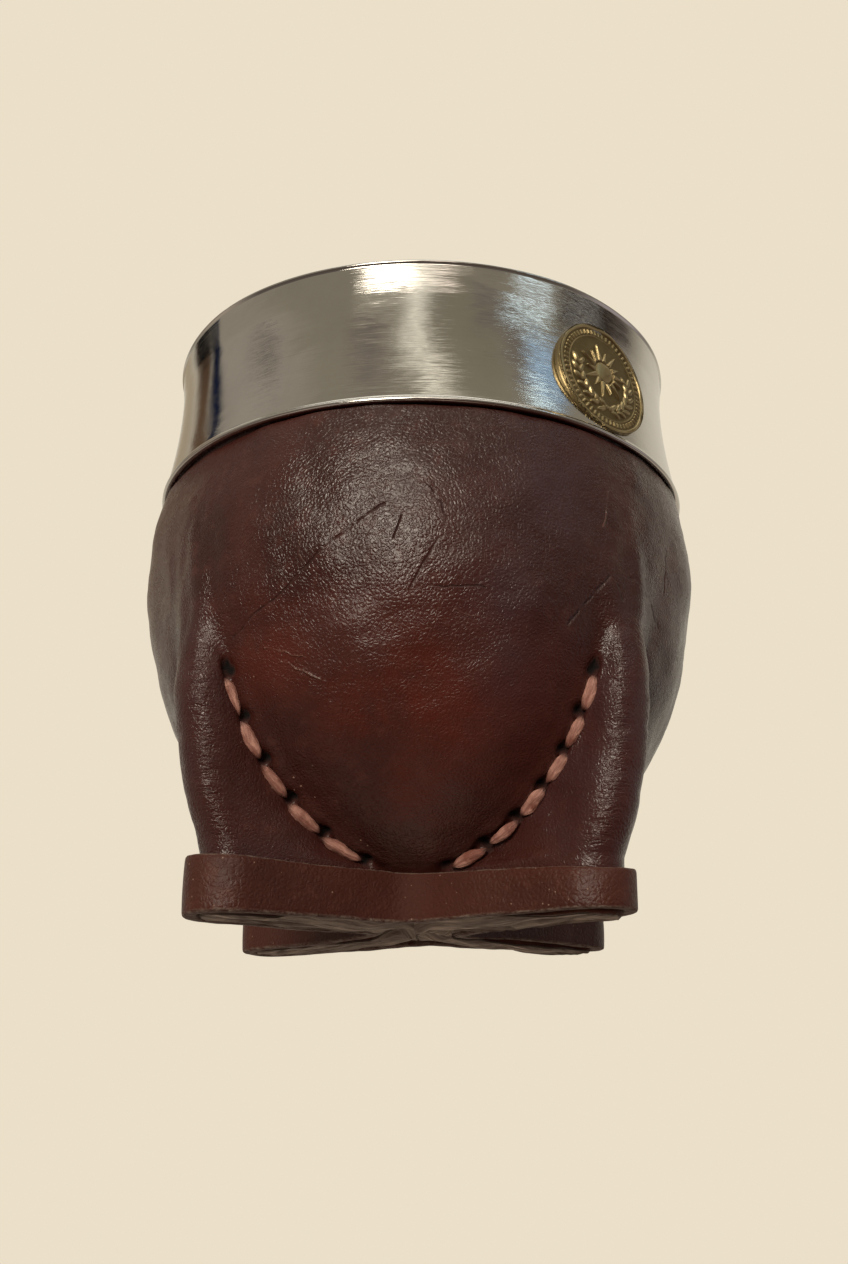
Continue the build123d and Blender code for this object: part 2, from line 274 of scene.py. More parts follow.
# how softly a pleat's walls run into the belly, by height
seam_levels, seam_rounds = (30, 38, 46, 56, 62), (0.7, 1.5, 4.6, 7.0, 8.0)


def eased(heights, column):
    """One of the pleat's sizes at each height, eased between the rows above."""
    rows, values = pleat_sizes[:, 0], pleat_sizes[:, column]
    slope = np.gradient(values, rows)
    low = np.clip(np.searchsorted(rows, heights) - 1, 0, len(rows) - 2)
    gap = rows[low + 1] - rows[low]
    t = np.clip((heights - rows[low]) / gap, 0, 1)
    return ((2 * t**3 - 3 * t**2 + 1) * values[low] + (t**3 - 2 * t**2 + t) * gap * slope[low]
            + (3 * t**2 - 2 * t**3) * values[low + 1] + (t**3 - t**2) * gap * slope[low + 1])


def foot_quarter(grow):
    """Quarter outline of the gathered foot grown by grow, from the side valley to the
    end valley, with where along it each valley arc ends."""
    tip_round = fold_half + grow

    def run(valley, valley_round, way):
        dx, dy = fold_tip - valley[0], fold_tip - valley[1]
        return atan2(dy, dx) + way * acos((tip_round + valley_round) / hypot(dx, dy))

    side, end = (side_valley + side_round, 0.0), (0.0, end_valley + end_round)
    side_turn = run(side, side_round - grow, 1)
    end_turn = run(end, end_round - grow, -1)

    def arc(centre, size, start, stop):
        turn = np.linspace(start, stop, 120)
        return np.stack([centre[0] + size * np.cos(turn), centre[1] + size * np.sin(turn)], axis=1)

    side_arc = arc(side, side_round - grow, pi, side_turn)
    tip_arc = arc((fold_tip, fold_tip), tip_round, side_turn - pi, end_turn + pi)
    end_arc = arc(end, end_round - grow, end_turn, -pi / 2)
    line = np.concatenate([side_arc, tip_arc, end_arc])
    keep = np.r_[True, np.hypot(*np.diff(line, axis=0).T) > 1e-6]
    line = line[keep]
    length = np.r_[0, np.cumsum(np.hypot(*np.diff(line, axis=0).T))]
    marks = [np.hypot(*np.diff(side_arc, axis=0).T).sum(), length[-1] / 2,
             length[-1] - np.hypot(*np.diff(end_arc, axis=0).T).sum()]
    middle = np.argmin(np.abs(np.arctan2(line[:, 1], line[:, 0]) - pi / 4))
    marks[1] = length[middle]
    return line, length, marks


def belly_quarter(level):
    """Quarter outline of belly and pleat at a height, with the seams and the fold."""
    reach, fold, end_root, side_root = (float(eased(np.array([level]), i)[0]) for i in (1, 2, 3, 4))
    radius = float(belly_at(level))
    centre = reach - fold
    seam_round = np.interp(level, seam_levels, seam_rounds)
    wide = np.r_[np.linspace(-45, -20, 90, endpoint=False), np.linspace(-20, 20, 900, endpoint=False),
                 np.linspace(20, 45, 90)]
    turn = np.radians(wide)
    low, high = np.full_like(turn, 5.0), np.full_like(turn, 60.0)
    for _ in range(34):
        r = (low + high) / 2
        x, y = r * np.cos(turn), r * np.sin(turn)
        root = np.where(y > 0, end_root, side_root)
        half = root + (fold - root) * np.clip((x - pleat_root) / (centre - pleat_root), 0, 1)
        pleat = np.where(x > centre, np.hypot(x - centre, y) - fold, np.abs(y) - half)
        belly = r - radius
        nearness = np.maximum(seam_round - np.abs(belly - pleat), 0)
        outside = np.minimum(belly, pleat) - nearness ** 2 / (4 * seam_round) > 0
        high, low = np.where(outside, r, high), np.where(outside, low, r)
    line = np.stack([r * np.cos(turn + pi / 4), r * np.sin(turn + pi / 4)], axis=1)
    length = np.r_[0, np.cumsum(np.hypot(*np.diff(line, axis=0).T))]
    marks = []
    for root, way in ((side_root, -1), (end_root, 1)):
        half = root
        for _ in range(6):
            x = sqrt(max(radius ** 2 - half ** 2, 1))
            half = root + (fold - root) * min(max((x - pleat_root) / (centre - pleat_root), 0), 1)
        marks.append(np.interp(way * degrees(asin(min(half / radius, 0.6))), wide, length))
    return line, length, [marks[0], float(np.interp(0, wide, length)), marks[1]]


def quarter_columns(line, length, marks):
    """Even columns along a quarter outline: close together at the seams and folds."""
    near = 1 - (1 - np.arange(across_panel) / across_panel) ** 1.25
    over = np.arange(across_wall) / across_wall
    over = over - 0.3 * np.sin(2 * pi * over) / (2 * pi)
    start, side_seam, fold, end_seam, stop = 0.0, *marks, length[-1]
    places = np.concatenate([
        start + near * (side_seam - start),
        side_seam + over * (fold - side_seam),
        end_seam - np.r_[1.0, over[:0:-1]] * (end_seam - fold),
        stop - np.r_[1.0, near[:0:-1]] * (stop - end_seam),
        [stop],
    ])
    points = np.stack([np.interp(places, length, line[:, i]) for i in (0, 1)], axis=1)
    return points, places - fold, places - side_seam, places - end_seam


def all_round(quarter, mirrored=True):
    """Carries quarter columns (rings, columns, ...) round the four quarters. Points are
    mirrored, plain values are repeated."""
    back_left, front_right = quarter[:, ::-1].copy(), quarter[:, ::-1].copy()
    front_left = quarter.copy()
    if mirrored:
        back_left[..., 0] *= -1
        front_right[..., 1] *= -1
        front_left[..., :2] *= -1
    return np.concatenate([part[:, :-1] for part in (quarter, back_left, front_left, front_right)], axis=1)


def outward(rings):
    """Unit normals of a net of rings, from its neighbours."""
    along = np.roll(rings, -1, axis=1) - np.roll(rings, 1, axis=1)
    up = np.gradient(rings, axis=0)
    normal = np.cross(along, up)
    return normal / np.maximum(np.linalg.norm(normal, axis=-1, keepdims=True), 1e-9)


cover_bottom = 6.0
levels = [cover_bottom, 7.4, 8.3]
quarters = [quarter_columns(*foot_quarter(0)) for _ in levels]
heights = list(levels)
step_levels = np.concatenate([
    np.linspace(9.15, 16, 26), np.linspace(16, 28, 38)[1:], np.linspace(28, 42, 38)[1:],
    np.linspace(42, 60, 32)[1:], np.linspace(60, 73.0, 22)[1:]])
for level in step_levels:
    quarters.append(quarter_columns(*belly_quarter(level)))
    heights.append(level)
plan = np.stack([quarter[0] for quarter in quarters])
from_fold, from_side_seam, from_end_seam = (
    all_round(np.stack([quarter[i] for quarter in quarters]), mirrored=False) for i in (1, 2, 3))
upright = np.repeat(np.array(heights)[:, None, None], plan.shape[1], axis=1)
skin = all_round(np.concatenate([plan, upright], axis=2))

# lace holes: distance of each from the axis along its pleat, and its height
lace_pitch = {"front_left": 7.1, "front_right": 6.2, "back_left": 6.6, "back_right": 6.8}
pleat_way = {"front_left": (-1, -1), "front_right": (1, -1), "back_left": (-1, 1), "back_right": (1, 1)}
lace_lift, first_drop = 0.9, 23.7       # the first hole lies this far below the belly's widest
strap_line, strap_slope, strap_clear = 8.0, 0.025, 1.1


def lace_holes(pleat):
    holes, turn = [], asin(first_drop / belly_drop)
    while True:
        level, radius = belly_level - belly_drop * sin(turn), belly_radius * cos(turn)
        if level < strap_line - strap_slope * pleat_way[pleat][0] * radius * sqrt(0.5) + strap_clear:
            return holes
        centre = float(eased(np.array([level]), 1)[0] - eased(np.array([level]), 2)[0])
        fold = float(eased(np.array([level]), 2)[0])
        halves = []
        for column in (3, 4):
            root = float(eased(np.array([level]), column)[0])
            halves.append(root + (radius - pleat_root) / (centre - pleat_root) * (fold - root))
        holes.append((sqrt(radius ** 2 - halves[0] ** 2) + lace_lift, level, halves[0], -halves[1]))
        turn += lace_pitch[pleat] / hypot(belly_radius * sin(turn), belly_drop * cos(turn))


def on_pleat(pleat, distance, across, level):
    """A point given along a pleat and across it, with the end valley's side positive."""
    x_way, y_way = pleat_way[pleat]
    x = (distance - across) * sqrt(0.5)
    y = (distance + across) * sqrt(0.5)
    return np.array([x * x_way, y * y_way, level])


# the hide swells and sinks a little everywhere, and puckers where the lace pulls it in
normal = outward(skin)
height = skin[..., 2]
low_down = np.clip((height - belly_floor) / 2.0, 0, 1)
swells = ((0.28, 17, 3), (0.10, 6, 4), (0.035, 2.4, 5))     # height, width and seed
relief = sum(tall * ripple(skin, wide, seed) for tall, wide, seed in swells)
from_seam = np.where(from_fold > 0, -from_end_seam, from_side_seam)   # positive on the pleat
on_wall = np.clip(from_seam / 2, 0, 1)
seam_stretch = np.clip((38 - height) / 3, 0, 1) * low_down
# the crests beside each fold, crumpled across
sway = ripple(skin * (1, 1, 0.3), 5.0, 6)
crest_place, crest_width, crest_top, crest_fade, crest_height = 3.3, 1.3, 42, 6, 0.10
fold_face = np.exp(-((np.abs(from_fold) - crest_place - 0.5 * sway) / crest_width) ** 2)
fold_face *= np.clip((crest_top - height) / crest_fade, 0, 1)
folds = ripple(skin * (0.28, 0.28, 1.0), 1.45, 7) * np.clip(0.6 + 0.6 * ripple(skin, 9, 10), 0.1, 1.4)
relief += fold_face * low_down * (crest_height + 0.10 * (0.5 - np.abs(folds) ** 0.7))
# the pleat's walls sink between fold and seam, and the seam's groove has a raised lip
wall_dip = 0.22 * ripple(skin * (1, 1, 0.45), 9, 8) - 0.25
relief += on_wall * low_down * np.clip((48 - height) / 12, 0, 1) * wall_dip
relief += seam_stretch * 0.30 * np.exp(-((from_seam + 1.9) / 1.1) ** 2)
relief -= seam_stretch * 0.35 * np.exp(-((from_seam - 0.1) / 0.6) ** 2)
# above the lacing the pleat dies out in drawn lines
merge = np.clip((height - 37) / 4, 0, 1) * np.clip((62 - height) / 8, 0, 1)
pulled = ripple(skin * (1, 1, 0.22), 3.2, 9)
relief += merge * np.exp(-(from_fold / 9.0) ** 2) * 0.22 * pulled
# a pit at each lace hole, and a soft swelling between holes
pit_size, pit_depth, pit_shift, pull_size, pull_height = 0.80, 0.95, 0.55, 2.1, 0.28
pit = np.zeros_like(height)
seam_pull = np.zeros_like(height)
for pleat, (x_way, y_way) in pleat_way.items():
    holes = lace_holes(pleat)
    for number, (distance, level, end_across, side_across) in enumerate(holes):
        for across in (end_across, side_across):
            lean = pit_shift if across > 0 else -pit_shift
            hole = on_pleat(pleat, distance - pit_shift, across + lean, level + 0.2)
            gap = np.linalg.norm((skin - hole) * (1, 1, 0.8), axis=-1)
            pit = np.maximum(pit, np.exp(-(gap / pit_size) ** 2))
            if number == 0:
                for more in (0.8, 1.5):
                    above = on_pleat(pleat, distance - 0.3 + 0.18 * more, across + lean * 0.3, level + more)
                    gap = np.linalg.norm(skin - above, axis=-1)
                    pit = np.maximum(pit, np.exp(-(gap / (0.85 - 0.15 * more)) ** 2))
    for upper, lower in zip(holes, holes[1:]):
        for side in (2, 3):
            middle = on_pleat(pleat, (upper[0] + lower[0]) / 2 - 0.9, (upper[side] + lower[side]) / 2,
                              (upper[1] + lower[1]) / 2)
            gap = np.linalg.norm(skin - middle, axis=-1)
            seam_pull = np.maximum(seam_pull, np.exp(-(gap / pull_size) ** 2))
relief += pull_height * seam_pull * seam_stretch * np.clip(-from_seam / 1.2, 0, 1)
relief -= pit_depth * pit
skin = skin + normal * relief[..., None]

# top edge turned in under the band, then the hidden inside down to the gourd's floor
top = skin[-1]
reach = np.hypot(top[:, 0], top[:, 1])
edge = []
turned_in = ((0.15, 73.25), (0.55, 73.42), (1.1, 73.5))     # inset and level
for inset, level in turned_in:
    edge.append(np.stack([top[:, 0] * (1 - inset / reach), top[:, 1] * (1 - inset / reach),
                          np.full_like(reach, level)], axis=1))
columns = skin.shape[1]
under_band = [(44.7, 73.6), (44.7, 76.4), (44.2, 76.7), (43.25, 76.7), (43.25, gourd_shoulder + 0.15)]
lining = [(float(belly_at(level, leather_thickness - leather_gap)), level)
          for level in np.linspace(gourd_shoulder + 0.1, belly_floor + 2.3, 14)]
way = np.arctan2(top[:, 1], top[:, 0])
hidden = [np.stack([radius * np.cos(way), radius * np.sin(way), np.full_like(way, level)], axis=1)
          for radius, level in under_band + lining]
rings = np.concatenate([skin, np.array(edge), np.array(hidden)])
faces = capped_faces(len(rings), columns)

# shared finishes of the hide: mottled dye, pebbled grain, and single scars


def keep(piece, kind="FLOAT", **fields):
    """Stores values for each point of a piece, which its material or its tree reads."""
    for name, values in fields.items():
        attribute = piece.data.attributes.new(name, kind, "POINT")
        attribute.data.foreach_set("value" if kind == "FLOAT" else "vector",
                                   np.asarray(values, dtype=np.float32).ravel())


def kept(tree, name, way="Fac"):
    """What a piece keeps under a name, as a material reads it."""
    return put(tree, "ShaderNodeAttribute", attribute_name=name).outputs[way]


hide_tone, given, result = new_group(
    "Mottled dye",
    {"Vector": ("Vector", None), "Deep": ("Color", (0, 0, 0, 1)), "Middle": ("Color", (0, 0, 0, 1)),
     "Warm": ("Color", (0, 0, 0, 1)), "Patch": ("Float", 45.0)},
    {"Color": ("Color", None)})
wide = noise(hide_tone, given["Vector"], given["Patch"], 4.0, 0.55, 0.6)
fine = noise(hide_tone, given["Vector"], times(hide_tone, given["Patch"], 9.0), 6.0, 0.65)
patches = rise(hide_tone, wide, 0.38, 0.62)
colour = blend_colour(hide_tone, patches, given["Deep"], given["Middle"])
colour = blend_colour(hide_tone, rise(hide_tone, fine, 0.5, 0.72, 0, 0.55), colour, given["Warm"])
hide_tone.links.new(colour, result["Color"])

hide_grain, given, result = new_group(
    "Pebbled grain",
    {"Vector": ("Vector", None), "Pebbles": ("Float", 1300.0), "Creases": ("Float", 420.0)},
    {"Height": ("Float", None), "Speck": ("Float", None)})
bent = put(hide_grain, "ShaderNodeTexNoise", {"Vector": given["Vector"], "Scale": given["Creases"],
           "Detail": 3.0}).outputs["Color"]
bent = vectors(hide_grain, "SCALE", bent, 0.0012)
bent = vectors(hide_grain, "ADD", given["Vector"], bent)
pebble = put(hide_grain, "ShaderNodeTexVoronoi", {"Vector": bent, "Scale": given["Pebbles"]},
             feature="DISTANCE_TO_EDGE").outputs["Distance"]
crease = put(hide_grain, "ShaderNodeTexVoronoi", {"Vector": bent, "Scale": given["Creases"]},
             feature="DISTANCE_TO_EDGE").outputs["Distance"]
crumple = noise(hide_grain, given["Vector"], times(hide_grain, given["Pebbles"], 0.55), 5.0, 0.62, 1.2)
grain_height = maths(hide_grain, "ADD", rise(hide_grain, pebble, 0.0, 0.34, 0, 0.55),
                     rise(hide_grain, crease, 0.0, 0.10, 0, 0.20))
grain_height = maths(hide_grain, "ADD", grain_height, times(hide_grain, crumple, 1.1))
hide_grain.links.new(grain_height, result["Height"])
dot_scale = times(hide_grain, given["Creases"], 2.2)
dots = put(hide_grain, "ShaderNodeTexVoronoi", {"Vector": given["Vector"], "Scale": dot_scale}, feature="F1")
rare = put(hide_grain, "ShaderNodeSeparateColor", {0: dots.outputs["Color"]}).outputs[0]
speck = times(hide_grain, rise(hide_grain, dots.outputs["Distance"], 0.07, 0.17, 1, 0),
              rise(hide_grain, rare, 0.80, 0.84))
hide_grain.links.new(speck, result["Speck"])

scar, given, result = new_group(
    "Scar",
    {"Vector": ("Vector", None), "Start": ("Vector", (0, 0, 0)), "End": ("Vector", (0, 0, 1)),
     "Width": ("Float", 0.0004), "So Far": ("Float", 0.0)},
    {"Mask": ("Float", None)})
# a stroke is nudged a little where it meets the strokes before it
nudged = vectors(scar, "MULTIPLY_ADD", given["So Far"], (0, 0, 0.0001), given["Vector"])
to_here = vectors(scar, "SUBTRACT", nudged, given["Start"])
to_end = vectors(scar, "SUBTRACT", given["End"], given["Start"])
share = maths(scar, "DIVIDE", vectors(scar, "DOT_PRODUCT", to_here, to_end, way="Value"),
              vectors(scar, "DOT_PRODUCT", to_end, to_end, way="Value"), clamp=True)
nearest = vectors(scar, "SCALE", to_end, share)
aside = vectors(scar, "DISTANCE", to_here, nearest, way="Value")
cut = maths(scar, "SUBTRACT", 1.0, maths(scar, "DIVIDE", aside, given["Width"]), clamp=True)
scar.links.new(maths(scar, "MAXIMUM", cut, given["So Far"]), result["Mask"])


def on_hide(turn, level):
    """A place on the hide laid out flat: turn degrees from the front, and level in mm."""
    return (radians(turn) * belly_radius * mm, level * mm, 0.0)


saddle, tree, shader = new_material("burnished_leather", Specular_IOR_Level=0.45)
place = object_place(tree)
dye = use_group(tree, hide_tone, Vector=place, Deep=(0.037, 0.0092, 0.0070, 1),
                Middle=(0.058, 0.0162, 0.0126, 1), Warm=(0.083, 0.027, 0.0200, 1), Patch=38.0)
grain = use_group(tree, hide_grain, Vector=place, Pebbles=1650.0, Creases=420.0)
pit_mask = kept(tree, "pit")
fold_mask = kept(tree, "fold")
red_mask = kept(tree, "red")
plum_mask = kept(tree, "plum")
dust_mask = kept(tree, "dust")
cloud = rise(tree, noise(tree, place, 120.0, 4.0), 0.35, 0.65, 0.35, 1.0)
# painted warm glow: the red patches turn the hide redder and warmer there, and below their gloss is dulled
colour = blend_colour(tree, times(tree, red_mask, cloud), dye["Color"], (0.098, 0.0125, 0.0042, 1))
colour = blend_colour(tree, times(tree, plum_mask, cloud), colour, (0.052, 0.0215, 0.0235, 1))
colour = blend_colour(tree, times(tree, grain["Speck"], dust_mask), colour, (0.40, 0.25, 0.19, 1))
rough = rise(tree, noise(tree, place, 90.0, 5.0), 0.3, 0.7, 0.22, 0.32)
rough = blend_colour(tree, red_mask, rough, (0.42, 0.42, 0.42, 1))
rough = blend_colour(tree, rise(tree, pit_mask, 0.15, 0.45), rough, (1.0, 1.0, 1.0, 1))
bump = raise_bump(tree, grain["Height"], 0.80, 0.00009)
folds = noise(tree, stretched(tree, place, (300.0, 300.0, 1500.0)), 1.0, 3.0, 0.6, 0.5)
folds = times(tree, rise(tree, folds, 0.35, 0.6), fold_mask)
bump = raise_bump(tree, folds, 0.6, 0.00026, bump)
# the hide laid out flat round the belly, with a waver for lines drawn on it
axes = put(tree, "ShaderNodeSeparateXYZ", {0: place}).outputs
round_belly = put(tree, "ShaderNodeMath", {0: axes[0], 1: times(tree, axes[1], -1.0)},
                  operation="ARCTAN2").outputs[0]
waver = maths(tree, "SUBTRACT", noise(tree, place, 300.0, 2.0), 0.5)
laid_out = put(tree, "ShaderNodeCombineXYZ", {
    0: maths(tree, "ADD", times(tree, round_belly, belly_radius * mm), times(tree, waver, 0.0016)),
    1: maths(tree, "ADD", axes[2], times(tree, waver, 0.0022)), 2: 0.0}).outputs[0]
# creases and scratches, listed one by one: turn and level from point to point, then width in mm
mark_width, mark_depth, mark_height = 0.62, 0.00020, 0.00016
sunk_marks = (
    (((-4, 56.5), (-10, 53.5), (-16, 50), (-25, 44.5), (-36, 40)), 0.42),
    (((5.5, 51), (3, 47.5), (0.5, 43.5)), 0.55),
    (((-1, 54.5), (-2.5, 51)), 0.34),
    (((3, 60), (7, 54)), 0.30),
    (((4, 44.5), (9, 44.5), (14.5, 45)), 0.40),
    (((39.5, 49.5), (31, 41)), 0.60),
    (((39.5, 49.5), (42.5, 46.5)), 0.60),
    (((44.5, 50), (49.5, 48.5), (53.5, 48), (57.5, 45.5)), 0.95),
    (((60, 59), (59, 51)), 0.50),
)
raised_marks = (
    (((4, 60.5), (7.5, 54.5), (9, 51)), 0.28),
    (((-19.5, 52.5), (-20, 50), (-18.5, 48)), 0.28),
    (((-29.5, 37.5), (-21, 36)), 0.30),
    (((-26, 35.5), (-17.5, 32.5)), 0.34),
    (((40, 63.5), (38.5, 57.5)), 0.35),
    (((8.5, 41), (13.5, 40.5)), 0.25),
)


def marked(marks):
    """The mask of a set of creases, each one run of straight strokes that waver."""
    so_far = 0.0
    for run, width in marks:
        for start, end in zip(run, run[1:]):
            so_far = use_group(tree, scar, Vector=laid_out, Start=on_hide(*start), End=on_hide(*end),
                               Width=mark_width * width * mm, So_Far=so_far)["Mask"]
    return so_far


broken = rise(tree, noise(tree, place, 420.0, 2.0), 0.38, 0.58, 0.25, 1.0)
sunk = times(tree, marked(sunk_marks), broken)
raised = times(tree, marked(raised_marks), broken)
bump = raise_bump(tree, maths(tree, "SUBTRACT", 1.0, sunk), 0.9, mark_depth, bump)
bump = raise_bump(tree, raised, 0.9, mark_height, bump)
rough = blend_colour(tree, times(tree, sunk, 0.5), rough, (0.8, 0.8, 0.8, 1))
tree.links.new(rough, shader.inputs["Roughness"])
# painted shade: the sunk creases are darkened
colour = blend_colour(tree, times(tree, sunk, 0.30), colour, (0.016, 0.004, 0.003, 1))
colour = blend_colour(tree, times(tree, raised, 0.35), colour, (0.24, 0.12, 0.085, 1))
# painted shade: the lace pits are darkened nearly to black
colour = blend_colour(tree, rise(tree, pit_mask, 0.25, 0.85), colour, (0.004, 0.002, 0.0015, 1))
tree.links.new(colour, shader.inputs["Base Color"])
tree.links.new(bump, shader.inputs["Normal"])

cover = new_piece("leather_cover_skin", rings, faces, saddle)
out_of_sight = np.zeros((len(rings) - len(skin), columns))
turned = np.degrees(np.arctan2(skin[..., 0], -skin[..., 1]))
# where the warm glow is painted: low on the front, and weaker on the left
red = np.exp(-((turned - 4) / 22) ** 2 - ((height - 27) / 12) ** 2)
red += 0.7 * np.exp(-((turned + 28) / 11) ** 2 - ((height - 38) / 7) ** 2)
plum = np.exp(-((turned - 20) / 9) ** 2 - ((height - 44) / 17) ** 2)
plum += 0.8 * np.exp(-((turned - 30) / 12) ** 2 - ((height - 62) / 9) ** 2)
plum += 0.7 * on_wall * np.clip((50 - height) / 10, 0, 1) * np.clip(0.6 + ripple(skin, 14, 12), 0, 1)
dust = np.exp(-((from_seam + 2.5) / 4.5) ** 2) * np.clip((40 - height) / 4, 0, 1) * (skin[..., 0] < 0)
for name, values in (("pit", pit), ("fold", fold_face * low_down), ("red", np.clip(red, 0, 1)),
                     ("plum", np.clip(plum, 0, 1)), ("dust", dust)):
    keep(cover, **{name: np.concatenate([values, out_of_sight])})
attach(cover, "root"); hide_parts("leather_cover")

# --------------------------------------------------------- the ends of the pleats
# Underneath, the gathered leaves are cut off level and left raw. Their grey-brown cut
# edges run out from the middle along each pleat, with dark gaps where they don't close.
raw_hide, tree, shader = new_material("raw_cut_hide", Roughness=0.8, Specular_IOR_Level=0.3)
place = object_place(tree)
leaf = kept(tree, "along", "Vector")
strands = use_group(tree, fibres, Vector=leaf, Across=(0.10, 1.0, 1.0), Fineness=1500.0)
side_mask = kept(tree, "side")
gap_shade_mask = kept(tree, "gap")
tone = blend_colour(tree, strands["Fibre"], (0.25, 0.205, 0.172, 1), (0.70, 0.60, 0.51, 1))
tone = blend_colour(tree, times(tree, strands["Streak"], 0.7), tone, (0.13, 0.098, 0.080, 1))
tone = blend_colour(tree, rise(tree, noise(tree, place, 110.0, 4.0), 0.55, 0.70, 0, 0.6), tone,
                    (0.13, 0.085, 0.070, 1))
dye = use_group(tree, hide_tone, Vector=place, Deep=(0.070, 0.018, 0.010, 1),
                Middle=(0.12, 0.035, 0.020, 1), Warm=(0.17, 0.06, 0.035, 1), Patch=60.0)
tone = blend_colour(tree, side_mask, tone, dye["Color"])
# painted shade: the splits and thin seams between the leaves are darkened nearly to black
tone = blend_colour(tree, gap_shade_mask, tone, (0.008, 0.005, 0.004, 1))
tree.links.new(tone, shader.inputs["Base Color"])
bump = raise_bump(tree, strands["Fibre"], 0.8, 0.0003)
tree.links.new(raise_bump(tree, strands["Streak"], 0.6, 0.0005, bump), shader.inputs["Normal"])

rim = all_round(quarter_columns(*foot_quarter(0))[0][None])[0]
core_share, ring_count = 0.03, 62
share = np.concatenate([np.linspace(1, 2 * core_share, ring_count) ** 0.9, [core_share]])
net = np.concatenate([rim[None] * share[:, None, None], np.zeros((len(share), len(rim), 1))], axis=2)
# along and across each pleat: the fold lies on the diagonal
on_x, on_y = np.abs(net[..., 0]), np.abs(net[..., 1])
down_pleat, over_pleat = (on_x + on_y) * sqrt(0.5), (on_y - on_x) * sqrt(0.5)
quadrant = (net[..., 0] > 0) * 1.0 + (net[..., 1] > 0) * 2.0
flow = np.stack([down_pleat, over_pleat, quadrant * 7.0], axis=-1)
bend = 1.1 * ripple(flow * (0.25, 0.6, 1), 3.0, 21)
lane = over_pleat + bend
inward = np.clip((down_pleat - 5) / 9, 0, 1)
to_tip = fold_tip * sqrt(2) + fold_half - down_pleat
# the split between a pleat's two leaves, the thin seams beside it, and the valleys outside
split_width, split_depth, seam_width, seam_depth, leaf_depth, valley_depth = 0.42, 2.4, 0.22, 0.8, 0.50, 1.2
split = np.exp(-((over_pleat - 0.35 * bend) / split_width) ** 2)
split = split * np.clip((down_pleat - 9) / 5, 0, 1) * np.clip((to_tip - 3.6) / 2, 0, 1)
seam_lanes = ((-3.1, 0.6), (-1.7, 0.45), (1.8, 0.55), (3.3, 0.5))     # place across, and strength
seams = sum(np.exp(-((lane - at) / seam_width) ** 2) * strength for at, strength in seam_lanes)
seams = seams * inward * np.clip((to_tip - 1.6) / 1.5, 0, 1)
lumps = ripple(flow, 3.2, 22) * (1 - inward)
edge_round = np.clip(1 - (1 - share[:, None]) / 0.03, 0, 1)
depth = leaf_depth + 0.012 * net[..., 0] + 0.12 * ripple(flow * (0.3, 1, 1), 2.0, 23)
depth += 0.09 * ripple(flow * (0.2, 1.6, 1), 0.9, 24)
depth = depth + split_depth * split + seam_depth * seams + (0.5 + 0.6 * lumps) * (1 - inward)
depth = np.maximum(depth, 0.02)
depth *= 1 - 0.45 * edge_round
valley = np.clip((np.abs(over_pleat) - 5.2) / 2.0, 0, 1) * np.clip((down_pleat - 4) / 3, 0, 1)
depth += valley_depth * valley
net[..., 2] = depth
# a low wall goes up behind the strap, and its lowest rings follow the cut edge
wall_levels, wall_inset, edge_inset = (5.6, 3.5, 2.2, 1.5, 0.9), 0.9985, 0.988
wall = np.array([np.concatenate([rim * wall_inset, np.full((len(rim), 1), level)], axis=1)
                 for level in wall_levels])
low_wave = 0.18 * ripple(wall, 8, 25)
wall[..., :2] *= (1 + low_wave[..., None] * 0.004)
wall[-1, :, 2] = np.maximum(net[0, :, 2] + 0.35, 0.5)
wall[-2, :, 2] = wall[-1, :, 2] + 0.5
wall[-3, :, 2] = wall[-1, :, 2] + 1.1
net[0, :, :2] *= edge_inset
ends = np.concatenate([wall, net])[:, ::-1]
columns = ends.shape[1]
pleat_ends = new_piece("pleat_ends", ends, capped_faces(len(ends), columns), raw_hide)
no_gap, no_flow = np.zeros((len(wall), columns)), np.zeros((len(wall), columns, 3))
# where the splits and seams get their painted shade
gap_shade = np.concatenate([no_gap, np.clip(1.1 * split + 0.7 * seams, 0, 1)])[:, ::-1]
keep(pleat_ends, side=np.concatenate([no_gap + 1, np.zeros_like(split)]), gap=gap_shade)
keep(pleat_ends, "FLOAT_VECTOR", along=np.concatenate([no_flow, flow])[:, ::-1] * mm)
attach(pleat_ends, "root")

# ---------------------------------------------------------------------- the lacing
# A narrow thong of pale, unburnished hide laces each pleat shut. It shows as short
# plump stitches along both seams, pinched where they go down into their holes.
lace_hide, tree, shader = new_material("lace_hide", Roughness=0.5, Specular_IOR_Level=0.45)
place = object_place(tree)
way = kept(tree, "lengthwise", "Vector")
strands = use_group(tree, fibres, Vector=way, Across=(0.16, 1.0, 1.0), Fineness=1700.0)
end_shade = kept(tree, "end_shade")
tone = blend_colour(tree, strands["Fibre"], (0.27, 0.108, 0.084, 1), (0.60, 0.32, 0.25, 1))
tone = blend_colour(tree, rise(tree, noise(tree, place, 320.0, 3.0), 0.46, 0.66), tone,
                    (0.24, 0.090, 0.065, 1))
# painted shade: each stitch darkens towards its ends, where it goes down into its hole
tone = blend_colour(tree, rise(tree, end_shade, 0.60, 1.0), tone, (0.07, 0.022, 0.016, 1))
tree.links.new(tone, shader.inputs["Base Color"])
tree.links.new(raise_bump(tree, strands["Fibre"], 0.7, 0.00022), shader.inputs["Normal"])

